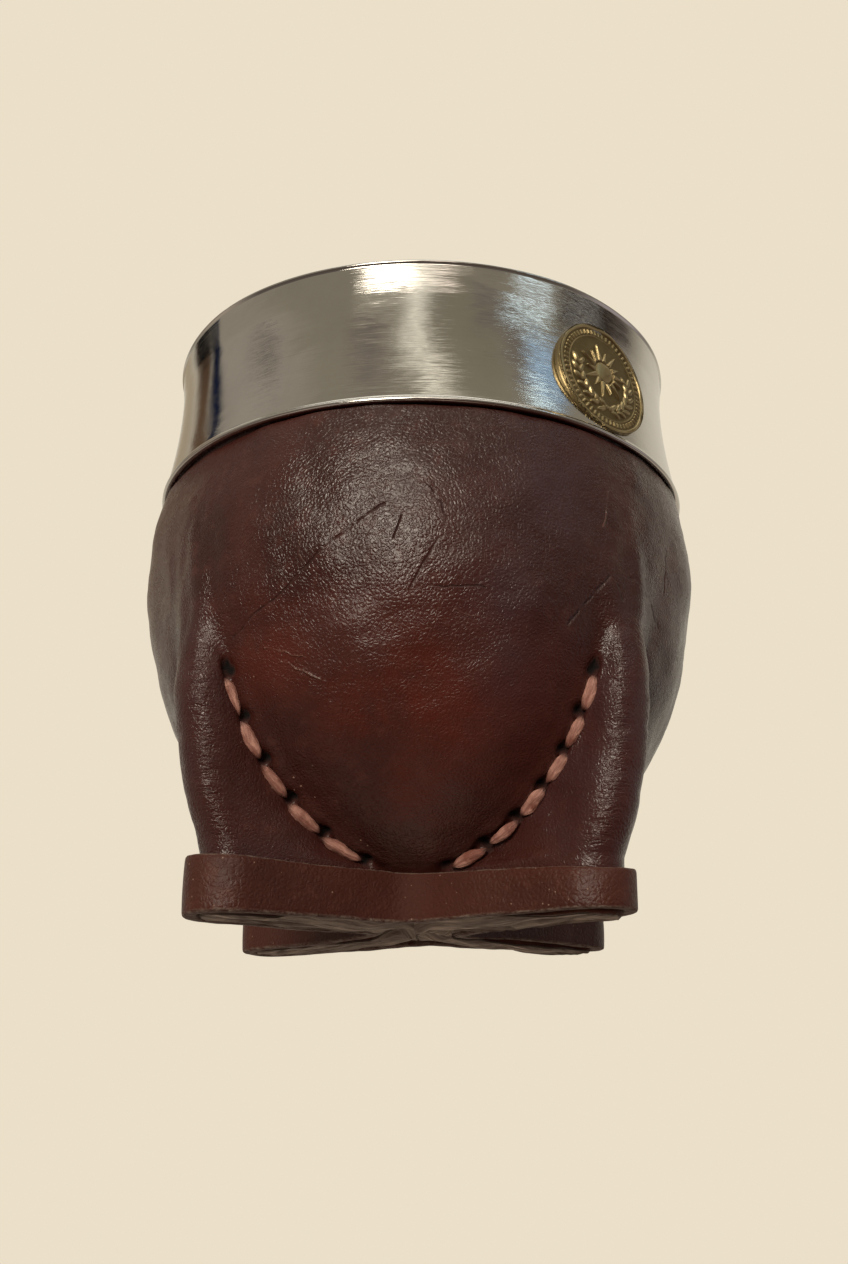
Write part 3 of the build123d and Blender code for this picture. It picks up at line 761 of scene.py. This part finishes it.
narrowest, widest = 0.78, 1.14      # shares of a stitch's width, picked at random
stitching = bpy.data.node_groups.new("Stitches", "GeometryNodeTree")
stitching.is_modifier = True
stitch_sockets = {}
for label, kind, value in (("Geometry", "Geometry", None), ("Stitch width", "Float", 1.75),
                           ("Stitch height", "Float", 1.65), ("Furrows", "Float", 0.10),
                           ("Unevenness", "Float", 0.16), ("Seed", "Int", 5)):
    made = stitching.interface.new_socket(label, in_out="INPUT", socket_type="NodeSocket" + kind)
    if value is not None:
        made.default_value = value
    stitch_sockets[label] = made.identifier
stitching.interface.new_socket("Geometry", in_out="OUTPUT", socket_type="NodeSocketGeometry")
given = stitching.nodes.new("NodeGroupInput").outputs
result = stitching.nodes.new("NodeGroupOutput").inputs
ball = put(stitching, "GeometryNodeMeshUVSphere", {"Segments": 18, "Rings": 16, "Radius": 1.0})
spot = put(stitching, "GeometryNodeInputPosition").outputs[0]
axes = put(stitching, "ShaderNodeSeparateXYZ", {0: spot}).outputs
taper = maths(stitching, "SUBTRACT", 1.0, times(stitching, axes[2], axes[2]))
taper = maths(stitching, "POWER", maths(stitching, "MAXIMUM", taper, 0.0001), 0.12)
turned = maths(stitching, "ARCTAN2", axes[1], axes[0])
groove = maths(stitching, "SINE", times(stitching, turned, 5.0))
groove = maths(stitching, "ADD", 1.0, times(stitching, groove, given["Furrows"]))
taper = times(stitching, taper, groove)
shaped = put(stitching, "ShaderNodeCombineXYZ", {
    0: times(stitching, axes[0], taper), 1: times(stitching, axes[1], taper),
    2: axes[2]}).outputs[0]
ball = put(stitching, "GeometryNodeSetPosition", {"Geometry": ball.outputs["Mesh"], "Position": shaped})
lengthwise = put(stitching, "ShaderNodeCombineXYZ", {0: axes[2], 1: turned, 2: 0.0}).outputs[0]
lengthwise = vectors(stitching, "MULTIPLY", lengthwise, (0.003, 0.0009, 0.0))
ball = put(stitching, "GeometryNodeStoreNamedAttribute", {
    "Geometry": ball.outputs[0], "Name": "lengthwise", "Value": lengthwise},
    data_type="FLOAT_VECTOR", domain="POINT")
# how near each point lies to the stitch's ends, for the painted shade there
ball = put(stitching, "GeometryNodeStoreNamedAttribute", {
    "Geometry": ball.outputs[0], "Name": "end_shade", "Value": maths(stitching, "ABSOLUTE", axes[2])},
    data_type="FLOAT", domain="POINT")


def named(kind, name):
    """What the stitch points keep under a name."""
    found = put(stitching, "GeometryNodeInputNamedAttribute", {"Name": name}, data_type=kind)
    return found.outputs["Attribute"]


heading = put(stitching, "FunctionNodeAlignRotationToVector", {"Vector": named("FLOAT_VECTOR", "heading")},
              axis="Z").outputs[0]
facing = put(stitching, "FunctionNodeAlignRotationToVector", {
    "Rotation": heading, "Vector": named("FLOAT_VECTOR", "facing")}, axis="X", pivot_axis="Z").outputs[0]
varied = put(stitching, "FunctionNodeRandomValue", {"Seed": given["Seed"]}, data_type="FLOAT")
for socket in varied.inputs:
    if socket.type == "VALUE" and socket.name in ("Min", "Max"):
        socket.default_value = narrowest if socket.name == "Min" else widest
random_share = [socket for socket in varied.outputs if socket.type == "VALUE"][0]
half_width = times(stitching, times(stitching, given["Stitch width"], 0.5 * mm), random_share)
half_height = times(stitching, given["Stitch height"], 0.5 * mm)
half_length = named("FLOAT", "half_length")
size = put(stitching, "ShaderNodeCombineXYZ", {0: half_height, 1: half_width, 2: half_length})
stitches = put(stitching, "GeometryNodeInstanceOnPoints", {
    "Points": given["Geometry"], "Instance": ball.outputs[0], "Rotation": facing, "Scale": size.outputs[0]})
whole = put(stitching, "GeometryNodeRealizeInstances", {"Geometry": stitches.outputs[0]})
spot = put(stitching, "GeometryNodeInputPosition").outputs[0]
uneven = put(stitching, "ShaderNodeTexNoise", {"Vector": spot, "Scale": 420.0, "Detail": 2.0})
uneven = uneven.outputs["Color"]
uneven = vectors(stitching, "SUBTRACT", uneven, (0.5, 0.5, 0.5))
uneven = vectors(stitching, "SCALE", uneven, times(stitching, given["Unevenness"], 6 * mm))
whole = put(stitching, "GeometryNodeSetPosition", {"Geometry": whole.outputs[0], "Offset": uneven})
whole = put(stitching, "GeometryNodeSetShadeSmooth", {"Geometry": whole.outputs[0]})
finished = put(stitching, "GeometryNodeSetMaterial", {"Geometry": whole.outputs[0], "Material": lace_hide})
stitching.links.new(finished.outputs[0], result[0])

stitch_width, stitch_rise, stitch_overlap = 2.0, 0.15, 0.15
for pleat in pleat_way:
    holes = lace_holes(pleat)
    middles, headings, facings, halves = [], [], [], []
    for side, outside in ((2, 1), (3, -1)):
        for upper, lower in zip(holes, holes[1:]):
            start = on_pleat(pleat, upper[0], upper[side], upper[1] - 0.5)
            end = on_pleat(pleat, lower[0], lower[side], lower[1] + 0.1)
            out_wall = on_pleat(pleat, 0, outside, 0)
            belly_out = start * (1, 1, 0.0)
            belly_out = belly_out / np.linalg.norm(belly_out) + np.array([0, 0, -0.5])
            face = out_wall + 1.2 * belly_out
            span = end - start
            middles.append((start + end) / 2 + face / np.linalg.norm(face) * stitch_rise)
            headings.append(span / np.linalg.norm(span))
            facings.append(face / np.linalg.norm(face))
            halves.append((np.linalg.norm(span) * 0.5 - stitch_overlap) * mm)
    points = bpy.data.meshes.new("stitch_points")
    points.from_pydata([list(middle * mm) for middle in middles], [], [])
    holder = bpy.data.objects.new("stitch_points", points)
    keep(holder, "FLOAT_VECTOR", heading=headings, facing=facings)
    keep(holder, half_length=halves)
    bpy.context.scene.collection.objects.link(holder)
    modifier = holder.modifiers.new("stitches", "NODES")
    modifier.node_group = stitching
    modifier[stitch_sockets["Seed"]] = 5 + list(pleat_way).index(pleat)
    modifier[stitch_sockets["Stitch width"]] = stitch_width
    bpy.context.view_layer.update()
    evaluated = holder.evaluated_get(bpy.context.evaluated_depsgraph_get())
    mesh = bpy.data.meshes.new_from_object(evaluated)
    mesh.name = "stitches_" + pleat
    bpy.data.objects.remove(holder)
    stitch_piece = bpy.data.objects.new("stitches_" + pleat, mesh)
    bpy.context.scene.collection.objects.link(stitch_piece)
    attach(stitch_piece, "root"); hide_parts("lace_" + pleat)

# ----------------------------------------------------------------------- the strap
# A strap of the same hide is drawn tight round the pleats while wet. Its cut edges are
# a little uneven and stay paler than the burnished face.
strap_thickness, strap_gap, strap_columns = 2.3, 0.1, 172
strap_foot, strap_foot_slope = 0.65, 0.018
strap_hide, tree, shader = new_material("strap_leather", Specular_IOR_Level=0.34)
place = object_place(tree)
dye = use_group(tree, hide_tone, Vector=place, Deep=(0.052, 0.0125, 0.0070, 1),
                Middle=(0.069, 0.018, 0.0108, 1), Warm=(0.105, 0.033, 0.021, 1), Patch=48.0)
grain = use_group(tree, hide_grain, Vector=place, Pebbles=1300.0, Creases=520.0)
strands = use_group(tree, fibres, Vector=place, Across=(1.0, 1.0, 2.5), Fineness=900.0)
edge_mask = kept(tree, "edge")
red_mask = kept(tree, "red")
colour = blend_colour(tree, red_mask, dye["Color"], (0.060, 0.0125, 0.0064, 1))
colour = blend_colour(tree, times(tree, strands["Fibre"], edge_mask), colour, (0.20, 0.15, 0.12, 1))
colour = blend_colour(tree, grain["Speck"], colour, (0.30, 0.18, 0.13, 1))
tree.links.new(colour, shader.inputs["Base Color"])
rough = rise(tree, noise(tree, place, 130.0, 5.0), 0.3, 0.7, 0.42, 0.56)
rough = blend_colour(tree, red_mask, rough, (0.85, 0.85, 0.85, 1))
tree.links.new(blend_colour(tree, edge_mask, rough, (0.8, 0.8, 0.8, 1)), shader.inputs["Roughness"])
bump = raise_bump(tree, grain["Height"], 0.5, 0.00018)
tree.links.new(raise_bump(tree, times(tree, strands["Fibre"], edge_mask), 0.6, 0.0002, bump),
               shader.inputs["Normal"])


def strap_ring(grow):
    """Points round the foot outline, evenly spaced."""
    line, length, _ = foot_quarter(grow)
    places = np.linspace(0, length[-1], strap_columns + 1)
    points = np.stack([np.interp(places, length, line[:, i]) for i in (0, 1)], axis=1)
    return all_round(points[None])[0]


inside_line, outside_line = strap_ring(strap_gap), strap_ring(strap_gap + strap_thickness)
strap_count = len(outside_line)
run_x = outside_line[:, 0]
strap_top = strap_line - strap_slope * run_x
strap_low = strap_foot + strap_foot_slope * run_x
flat = np.stack([outside_line[:, 0], outside_line[:, 1], np.zeros(strap_count)], axis=1)
strap_top = strap_top + 0.16 * ripple(flat, 14, 31) + 0.03 * ripple(flat, 2.5, 32)
strap_low = strap_low + 0.14 * ripple(flat, 12, 33) + 0.03 * ripple(flat, 2.5, 34)
# the strap's section: share of its thickness outward, share of its width upward
section = [(0.0, 0.04), (0.25, 0.0), (0.85, 0.0), (0.96, 0.02), (1.0, 0.06), (1.03, 0.14), (1.055, 0.24),
           (1.07, 0.36), (1.075, 0.48), (1.07, 0.6), (1.055, 0.72), (1.03, 0.83), (1.005, 0.91),
           (0.97, 0.965), (0.90, 0.995), (0.72, 1.005), (0.35, 1.0), (0.08, 0.985), (0.0, 0.95), (0.0, 0.5)]
strap_rings, raw_edge = [], []
for out, up in section:
    where = inside_line + (outside_line - inside_line) * min(out, 1.0)
    bulge = max(out - 1.0, 0) * 1.2
    direction = outside_line - inside_line
    direction = direction / np.linalg.norm(direction, axis=1, keepdims=True)
    where = where + direction * (bulge + 0.10 * ripple(flat + (0, 0, up * 6), 7, 35)[:, None] * (out > 0.9))
    level = strap_low + (strap_top - strap_low) * up
    strap_rings.append(np.concatenate([where, level[:, None]], axis=1))
    raw_edge.append(np.full(strap_count, 1.0 if (up < 0.05 or up > 0.97) and out < 0.97 else 0.0))
strap = new_piece("base_strap_leather", np.array(strap_rings),
                  grid_faces(len(section), strap_count, loop=True), strap_hide)
front_red = np.exp(-((flat[:, 0] - 1.5) / 9.0) ** 2) * (flat[:, 1] < 0)
keep(strap, edge=raw_edge, red=np.tile(front_red * 0.8, len(section)))
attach(strap, "root"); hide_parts("base_strap")

# -------------------------------------------------------------------- the rim band
# A band of polished stainless sheet is spun to the cup: hemmed at its lower edge,
# waisted below a rolled lip, and turned down inside the mouth as a skirt that grips.
waist_radius, waist_level, flare_round = 44.1, 94.0, 90.2
hem_height, lip_radius, lip_round = 1.6, 44.46, 1.1
skirt_radius, skirt_bottom, sheet = 37.4, 89.0, 0.9
lip_flare, band_columns = 0.36, 512


def band_at(level):
    """Outside radius of the band's wall."""
    if level > waist_level:
        rise_share = (level - waist_level) / (cup_height - lip_round - waist_level)
        return waist_radius + lip_flare * rise_share ** 1.2
    return waist_radius + flare_round - sqrt(flare_round ** 2 - (waist_level - level) ** 2)


brushed, given, result = new_group(
    "Turned lines",
    {"Vector": ("Vector", None), "Fineness": ("Float", 9000.0)},
    {"Lines": ("Float", None), "Haze": ("Float", None)})
lines = vectors(brushed, "MULTIPLY", given["Vector"], (0.012, 0.012, 1.0))
fine = put(brushed, "ShaderNodeTexNoise", {"Vector": lines, "Scale": given["Fineness"], "Detail": 3.0,
           "Roughness": 0.7}).outputs[0]
brushed.links.new(rise(brushed, fine, 0.25, 0.75), result["Lines"])
haze = noise(brushed, given["Vector"], times(brushed, given["Fineness"], 0.008), 5.0, 0.6)
brushed.links.new(rise(brushed, haze, 0.3, 0.7), result["Haze"])

steel, tree, shader = new_material("polished_steel", Metallic=1.0, Anisotropic=0.2,
                                   Specular_IOR_Level=0.5)
place = object_place(tree)
turned_lines = use_group(tree, brushed, Vector=place, Fineness=7000.0)
colour = blend_colour(tree, turned_lines["Haze"], (0.57, 0.555, 0.525, 1), (0.64, 0.625, 0.590, 1))
tree.links.new(colour, shader.inputs["Base Color"])
rough = maths(tree, "ADD", rise(tree, turned_lines["Haze"], 0, 1, 0.035, 0.065),
              times(tree, turned_lines["Lines"], 0.025))
tree.links.new(rough, shader.inputs["Roughness"])
bump = raise_bump(tree, turned_lines["Lines"], 0.25, 0.00002)
dull = noise(tree, stretched(tree, place, (60.0, 60.0, 110.0)), 1.0, 2.0, 0.45, 0.8)
sideways_off = maths(tree, "ABSOLUTE", put(tree, "ShaderNodeSeparateXYZ", {0: place}).outputs[0])
bump = raise_bump(tree, dull, rise(tree, sideways_off, 0.014, 0.030, 0.22, 0.09), 0.0011, bump)
combed = noise(tree, stretched(tree, place, (110.0, 110.0, 1500.0)), 1.0, 1.0, 0.5)
patchy = rise(tree, noise(tree, place, 55.0, 2.0), 0.42, 0.60, 0.15, 1.0)
patchy = times(tree, patchy, rise(tree, sideways_off, 0.014, 0.030, 1.0, 0.08))
combed = times(tree, combed, patchy)
tree.links.new(raise_bump(tree, combed, 1.0, 0.00003, bump), shader.inputs["Normal"])

hem_top = band_bottom + hem_height
hem_bead = 0.36
bead_seat = band_at(band_bottom + 2 * hem_bead) - 0.06
profile = []
for turn in np.radians([-90, -60, -30, -10, 10, 30, 50, 65]):
    profile.append((bead_seat + hem_bead * cos(turn), band_bottom + hem_bead * (1 + sin(turn))))
profile += [(band_at(level), level) for level in np.linspace(band_bottom + 0.66, waist_level, 46)]
profile += [(band_at(level), level) for level in np.linspace(waist_level + 0.5, cup_height - 1.0, 12)]
lip_edge = ((0.02, 0.78), (0.22, 0.55), (0.26, 0.42), (0.22, 0.22), (0.06, 0.06), (-0.3, 0.0))
profile += [(lip_radius + out, cup_height - down) for out, down in lip_edge]
profile += [(radius, cup_height) for radius in np.linspace(lip_radius - 1.6, skirt_radius + 1.6, 9)]
for turn in np.radians([90, 70, 50, 30, 10, 0]):
    profile.append((skirt_radius + lip_round * (1 - cos(turn)), cup_height - lip_round * (1 - sin(turn))))
profile += [(skirt_radius, level) for level in np.linspace(cup_height - 2, skirt_bottom + 0.3, 14)]
profile += [(skirt_radius + 0.25, skirt_bottom), (skirt_radius + 0.65, skirt_bottom),
            (skirt_radius + sheet, skirt_bottom + 0.3)]
profile += [(skirt_radius + sheet, 98.4), (skirt_radius + 1.4, 99.1), (42.6, 99.1), (43.2, 98.4)]
profile += [(band_at(level) - sheet, level) for level in np.linspace(waist_level, hem_top + 0.1, 12)]
profile += [(44.95, hem_top), (44.85, hem_top - 0.3), (44.85, band_bottom + 0.2), (45.0, band_bottom)]
profile = [(r, max(z, band_bottom)) for r, z in profile]
band_rings = lathe(profile, band_columns)
ripples = 0.045 * ripple(band_rings, 16, 41) + 0.010 * ripple(band_rings * (1, 1, 0.6), 5.5, 42)
away = band_rings[..., :2] / np.hypot(band_rings[..., 0], band_rings[..., 1])[..., None]
band_rings[..., :2] += away * ripples[..., None]
band = new_piece("rim_band_sheet", band_rings, grid_faces(len(profile), band_columns, loop=True), steel)
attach(band, "root"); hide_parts("rim_band")

# ----------------------------------------------------------------------- the medal
# A small struck brass disc, soldered to the band. Its worn relief is a sun over two
# leafy sprigs, inside a ring of ticks and a raised border. Dirt has stayed in the low parts.
medal_radius, medal_height, medal_turn = 9.8, 84.9, radians(-47.0)
medal_body, medal_columns = 0.45, 420
border_radius, tick_radius, ring_radius, sprig_radius = 9.1, 8.45, 7.75, 5.9
sun_up, sun_radius, ray_start, ray_count, tick_count = 1.1, 1.9, 2.2, 14, 60
brass, tree, shader = new_material("struck_brass", Metallic=1.0)
place = object_place(tree)
low_mask = kept(tree, "worn")
tarnish = rise(tree, noise(tree, place, 420.0, 5.0, 0.6), 0.42, 0.72)
tone = blend_colour(tree, low_mask, (0.20, 0.150, 0.068, 1), (0.46, 0.365, 0.19, 1))
tone = blend_colour(tree, times(tree, tarnish, 0.45), tone, (0.34, 0.26, 0.125, 1))
tree.links.new(tone, shader.inputs["Base Color"])
tree.links.new(rise(tree, low_mask, 0, 1, 0.50, 0.33), shader.inputs["Roughness"])
pits = noise(tree, place, 2600.0, 3.0)
tree.links.new(raise_bump(tree, pits, 0.35, 0.00008), shader.inputs["Normal"])

radii = np.concatenate([np.linspace(0.0, medal_radius - 0.25, 118)[1:],
                        [medal_radius - 0.12, medal_radius - 0.03, medal_radius]])
turns = np.arange(medal_columns) * 2 * pi / medal_columns
across = radii[:, None] * np.cos(turns)
up = radii[:, None] * np.sin(turns)
distance = np.repeat(radii[:, None], medal_columns, axis=1)


def mound(gap, half_width, tall):
    """A rounded ridge or boss by distance from its middle."""
    return tall * np.sqrt(np.clip(1 - (gap / half_width) ** 2, 0, 1))


struck = 0.26 * np.clip((distance - border_radius) / 0.2, 0, 1)
struck = np.maximum(struck, mound(distance - ring_radius, 0.14, 0.12))
angle = np.arctan2(up, across)
tick = np.abs((angle * tick_count / (2 * pi) + 0.5) % 1 - 0.5) * 2 * pi / tick_count * distance
struck = np.maximum(struck, np.where(np.abs(distance - tick_radius) < 0.42, mound(tick, 0.22, 0.24), 0))
sun_gap = np.hypot(across, up - sun_up)
struck = np.maximum(struck, mound(sun_gap, sun_radius, 0.45))
sun_angle = np.arctan2(up - sun_up, across)
ray_number = sun_angle * ray_count / (2 * pi)
ray_gap = np.abs((ray_number + 0.5) % 1 - 0.5) * 2 * pi / ray_count * sun_gap
long_ray = np.round(ray_number) % 2 == 0
ray_end = np.where(long_ray, 5.4, 4.2)
ray_width = 0.52 * np.clip((ray_end - sun_gap) / (ray_end - ray_start), 0.01, 1)
on_ray = (sun_gap > ray_start) & (sun_gap < ray_end)
struck = np.maximum(struck, np.where(on_ray, mound(ray_gap, ray_width, 0.38), 0))
for side in (-1, 1):
    for step in range(7):
        lean = radians(-80 + step * 15)
        stem = np.hypot(across - side * sprig_radius * cos(lean), up - sprig_radius * sin(lean))
        struck = np.maximum(struck, mound(stem, 0.34, 0.26))
        for sprig in (-1, 1):
            place_out = sprig_radius + sprig * 0.62
            leaf_x = side * place_out * cos(lean + 0.08)
            leaf_y = place_out * sin(lean + 0.08)
            point = lean + pi / 2 + sprig * -0.55
            leaf_dx, leaf_dy = side * (across - leaf_x), up - leaf_y
            lengthways = leaf_dx * cos(point) + leaf_dy * sin(point)
            sidelong = -leaf_dx * sin(point) + leaf_dy * cos(point)
            leaf_gap = np.hypot(lengthways / 1.05, sidelong / 0.42)
            vein = (np.abs(sidelong) < 0.06) * (leaf_gap < 0.8)
            struck = np.maximum(struck, mound(leaf_gap, 1.0, 0.40) - 0.10 * vein)
for knot in (-0.55, 0, 0.55):
    struck = np.maximum(struck, mound(np.hypot(across - knot, up + 5.75 - 0.2 * abs(knot)), 0.42, 0.36))
wear = 0.05 * ripple(np.stack([across, up, up * 0], axis=-1), 2.2, 51)
front = medal_body + np.clip(struck + wear * (struck > 0.05), 0, 0.45)
front[-2:] -= np.array([[0.05], [0.22]])
face_net = np.stack([across, up, front], axis=-1)[::-1]
# the flat back, then the side wall, by share of the radius and height
behind = ((0.03, 0.0), (0.985, 0.0), (1.0, 0.0), (1.0, 0.3), (1.0, 0.75))
behind = np.array([np.stack([across[-1] * part, up[-1] * part, np.full(medal_columns, level)], axis=-1)
                   for part, level in behind])
medal_net = np.concatenate([behind, face_net])
back_wear = np.full((len(behind), medal_columns), 0.6)
worn = np.concatenate([back_wear, np.clip((struck - 0.02) / 0.2, 0, 1)[::-1]])
lean = asin((waist_level - medal_height) / flare_round)
sideways = np.array([-sin(medal_turn), cos(medal_turn), 0])
outwards = np.array([cos(medal_turn) * cos(lean), sin(medal_turn) * cos(lean), sin(lean)])
upwards = np.cross(outwards, sideways)
seat_radius = band_at(medal_height)
seat = np.array([seat_radius * cos(medal_turn), seat_radius * sin(medal_turn), medal_height])
# the disc is dished to follow the band behind it
dish = medal_net[..., 0] ** 2 / (2 * seat_radius)
on_back = np.clip(1 - medal_net[..., 2] / 0.3, 0, 1)
medal_depth = medal_net[..., 2] - dish * on_back - 0.45 * dish * (1 - on_back)
medal_points = (seat + medal_net[..., :1] * sideways + medal_net[..., 1:2] * upwards
                + medal_depth[..., None] * outwards)
medal = new_piece("medal_struck", medal_points, capped_faces(len(medal_net), medal_columns), brass)
keep(medal, worn=worn)
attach(medal, "root"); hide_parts("medal")

# -------------------------------------------------------------------------- stage
# A plain pale floor and backdrop, seen from a little below the foot. The floor can't be
# seen from beneath. Soft lights stand round the cup, and the band mirrors them.
backdrop = (0.831, 0.738, 0.584, 1)
world = bpy.data.worlds.new("studio")
bpy.context.scene.world = world
world.use_nodes = True
tree = world.node_tree
direction = put(tree, "ShaderNodeTexCoord").outputs["Generated"]
axes = put(tree, "ShaderNodeSeparateXYZ", {0: direction}).outputs
azimuth = times(tree, put(tree, "ShaderNodeMath", {0: axes[0], 1: times(tree, axes[1], -1.0)},
                operation="ARCTAN2").outputs[0], 180 / pi)
elevation = times(tree, maths(tree, "ARCSINE", axes[2]), 180 / pi)

card, given, result = new_group(
    "Studio card",
    {"Azimuth": ("Float", 0.0), "Elevation": ("Float", 0.0), "Turn": ("Float", 0.0), "Height": ("Float", 0.0),
     "Half Width": ("Float", 10.0), "Half Height": ("Float", 10.0), "Soft": ("Float", 2.0),
     "Slant": ("Float", 0.0)},
    {"Mask": ("Float", None)})
above = maths(card, "SUBTRACT", given["Elevation"], given["Height"])
apart = maths(card, "ABSOLUTE", above)
aside = maths(card, "SUBTRACT", given["Azimuth"], given["Turn"])
aside = maths(card, "ABSOLUTE", maths(card, "SUBTRACT", aside, times(card, above, given["Slant"])))


def inside_edge(gap, half):
    over = maths(card, "DIVIDE", maths(card, "SUBTRACT", gap, half), given["Soft"])
    return rise(card, over, -1.0, 1.0, 1.0, 0.0)


card.links.new(times(card, inside_edge(aside, given["Half Width"]),
                     inside_edge(apart, given["Half Height"])), result["Mask"])

# the room: dim and warm below, grey above, and the bright backdrop behind the cup
front_tone = blend_colour(tree, rise(tree, elevation, -34.0, 2.0),
                          (0.070, 0.038, 0.027, 1), (0.150, 0.128, 0.110, 1))
front_tone = blend_colour(tree, rise(tree, elevation, 4.0, 16.0), front_tone, (0.30, 0.262, 0.200, 1))
back_tone = blend_colour(tree, rise(tree, elevation, -40.0, 0.0),
                         (0.52, 0.43, 0.34, 1), (0.68, 0.62, 0.51, 1))
behind_cup = rise(tree, maths(tree, "ABSOLUTE", azimuth), 108.0, 140.0)
room = blend_colour(tree, behind_cup, front_tone, back_tone)
room = blend_colour(tree, rise(tree, elevation, 58.0, 74.0), room, (1.5, 1.42, 1.27, 1))
room = blend_colour(tree, rise(tree, elevation, -64.0, -80.0), room, (0.45, 0.34, 0.265, 1))
cards = (
    # azimuth and elevation of the middle, half width, half height, softness, slant, colour
    (-14.0, 14.0, 9.0, 9.5, 5.5, 0.3, (21.0, 19.0, 16.1)),
    (8.0, 17.0, 9.0, 6.0, 5.0, 0.0, (4.2, 3.65, 3.15)),
    (-12.0, 33.0, 10.0, 4.0, 5.0, 0.4, (0.62, 0.56, 0.45)),
    (0.0, 34.0, 4.5, 9.5, 4.0, -0.4, (1.25, 1.17, 0.98)),
    (7.0, 50.0, 5.5, 6.5, 4.5, 1.7, (1.5, 1.40, 1.16)),
    (-25.0, 34.5, 2.0, 4.0, 1.5, -0.5, (0.60, 0.54, 0.43)),
    (-85.0, 40.0, 24.0, 13.0, 9.0, 0.5, (0.40, 0.35, 0.29)),
    (-78.0, 37.5, 6.0, 2.6, 1.8, 2.2, (0.13, 0.100, 0.090)),
    (-24.0, 46.0, 9.0, 4.5, 3.0, 1.2, (0.205, 0.168, 0.148)),
    (-97.0, -2.0, 16.0, 16.0, 13.0, 0.0, (0.46, 0.38, 0.305)),
    (-62.0, -50.0, 30.0, 16.0, 14.0, 0.0, (0.42, 0.34, 0.28)),
    (95.0, -4.0, 17.0, 17.0, 12.0, 0.0, (0.44, 0.38, 0.38)),
    (-146.0, 30.0, 11.0, 16.0, 7.0, 0.0, (0.42, 0.34, 0.235)),
    (-127.0, 36.0, 6.5, 7.5, 1.0, -0.3, (0.135, 0.080, 0.046)),
    (-114.5, 37.5, 4.4, 12.0, 0.9, -0.5, (0.008, 0.013, 0.034)),
    (-120.0, 27.5, 10.0, 3.4, 0.9, 0.8, (0.004, 0.005, 0.006)),
    (30.0, 44.0, 12.0, 12.0, 5.0, 0.8, (0.285, 0.252, 0.180)),
    (38.0, 34.5, 13.0, 4.0, 2.0, 0.8, (0.205, 0.175, 0.150)),
    (52.0, 43.0, 6.0, 8.0, 2.5, 1.6, (0.215, 0.185, 0.158)),
    (67.0, 42.3, 11.0, 1.8, 1.3, 0.0, (0.55, 0.86, 1.20)),
    (72.0, 46.8, 9.0, 1.6, 1.3, 0.0, (0.11, 0.19, 0.32)),
    (88.0, 28.0, 24.0, 5.5, 1.4, 0.0, (0.030, 0.020, 0.015)),
    (76.0, 27.0, 13.0, 0.45, 0.5, 0.0, (0.85, 0.84, 0.80)),
    (84.0, 30.8, 12.0, 0.45, 0.5, 0.0, (0.60, 0.58, 0.54)),
    (51.0, 26.0, 9.0, 0.8, 0.6, 0.0, (2.6, 3.2, 3.5)),
    (52.0, 33.8, 10.0, 0.8, 0.6, 0.0, (2.3, 2.9, 3.1)),
    (68.0, 49.5, 10.0, 0.8, 0.6, 0.0, (2.3, 2.9, 3.1)),
    (108.0, 37.0, 8.0, 8.0, 5.0, 0.0, (0.30, 0.26, 0.22)),
)
for turn, high, half_width, half_height, soft, slant, glow in cards:
    mask = use_group(tree, card, Azimuth=azimuth, Elevation=elevation, Turn=turn, Height=high,
                     Half_Width=half_width, Half_Height=half_height, Soft=soft, Slant=slant)["Mask"]
    room = blend_colour(tree, mask, room, (*glow, 1))
seen = put(tree, "ShaderNodeLightPath").outputs["Is Camera Ray"]
sky = blend_colour(tree, seen, room, backdrop)
tree.links.new(sky, tree.nodes["Background"].inputs["Color"])

floor_material, tree, shader = new_material("pale_floor", Roughness=0.9, Specular_IOR_Level=0.1)
shader.inputs["Base Color"].default_value = (0.80, 0.71, 0.565, 1)
output = tree.nodes["Material Output"]
under = put(tree, "ShaderNodeNewGeometry").outputs["Backfacing"]
clear = put(tree, "ShaderNodeBsdfTransparent")
mixed = put(tree, "ShaderNodeMixShader", {0: under, 1: shader.outputs[0], 2: clear.outputs[0]})
tree.links.new(mixed.outputs[0], output.inputs["Surface"])
floor_reach, floor_level = 9000, -0.4
corners = [(x * floor_reach, y * floor_reach, floor_level) for x, y in ((-1, -1), (1, -1), (1, 1), (-1, 1))]
floor = new_piece("floor", corners, [(0, 1, 2, 3)], floor_material)
floor.visible_diffuse = floor.visible_glossy = floor.visible_transmission = floor.visible_shadow = False

camera_data = bpy.data.cameras.new("camera")
camera_data.lens = 36.59
camera_data.clip_start, camera_data.clip_end = 0.01, 30
camera = bpy.data.objects.new("camera", camera_data)
bpy.context.scene.collection.objects.link(camera)
camera_place = Vector((9.25, -215.2, -22.5)) * mm
yaw, pitch, roll = radians(-2.26), radians(19.43), radians(0.525)
forward = Vector((sin(yaw) * cos(pitch), cos(yaw) * cos(pitch), sin(pitch)))
right = Vector((cos(yaw), -sin(yaw), 0.0))
above = right.cross(forward)
right, above = right * cos(roll) + above * sin(roll), above * cos(roll) - right * sin(roll)
turned = Matrix((right, above, -forward)).transposed().to_4x4()
camera.matrix_world = Matrix.Translation(camera_place) @ turned
bpy.context.scene.camera = camera
bpy.context.scene.view_settings.view_transform = "Standard"
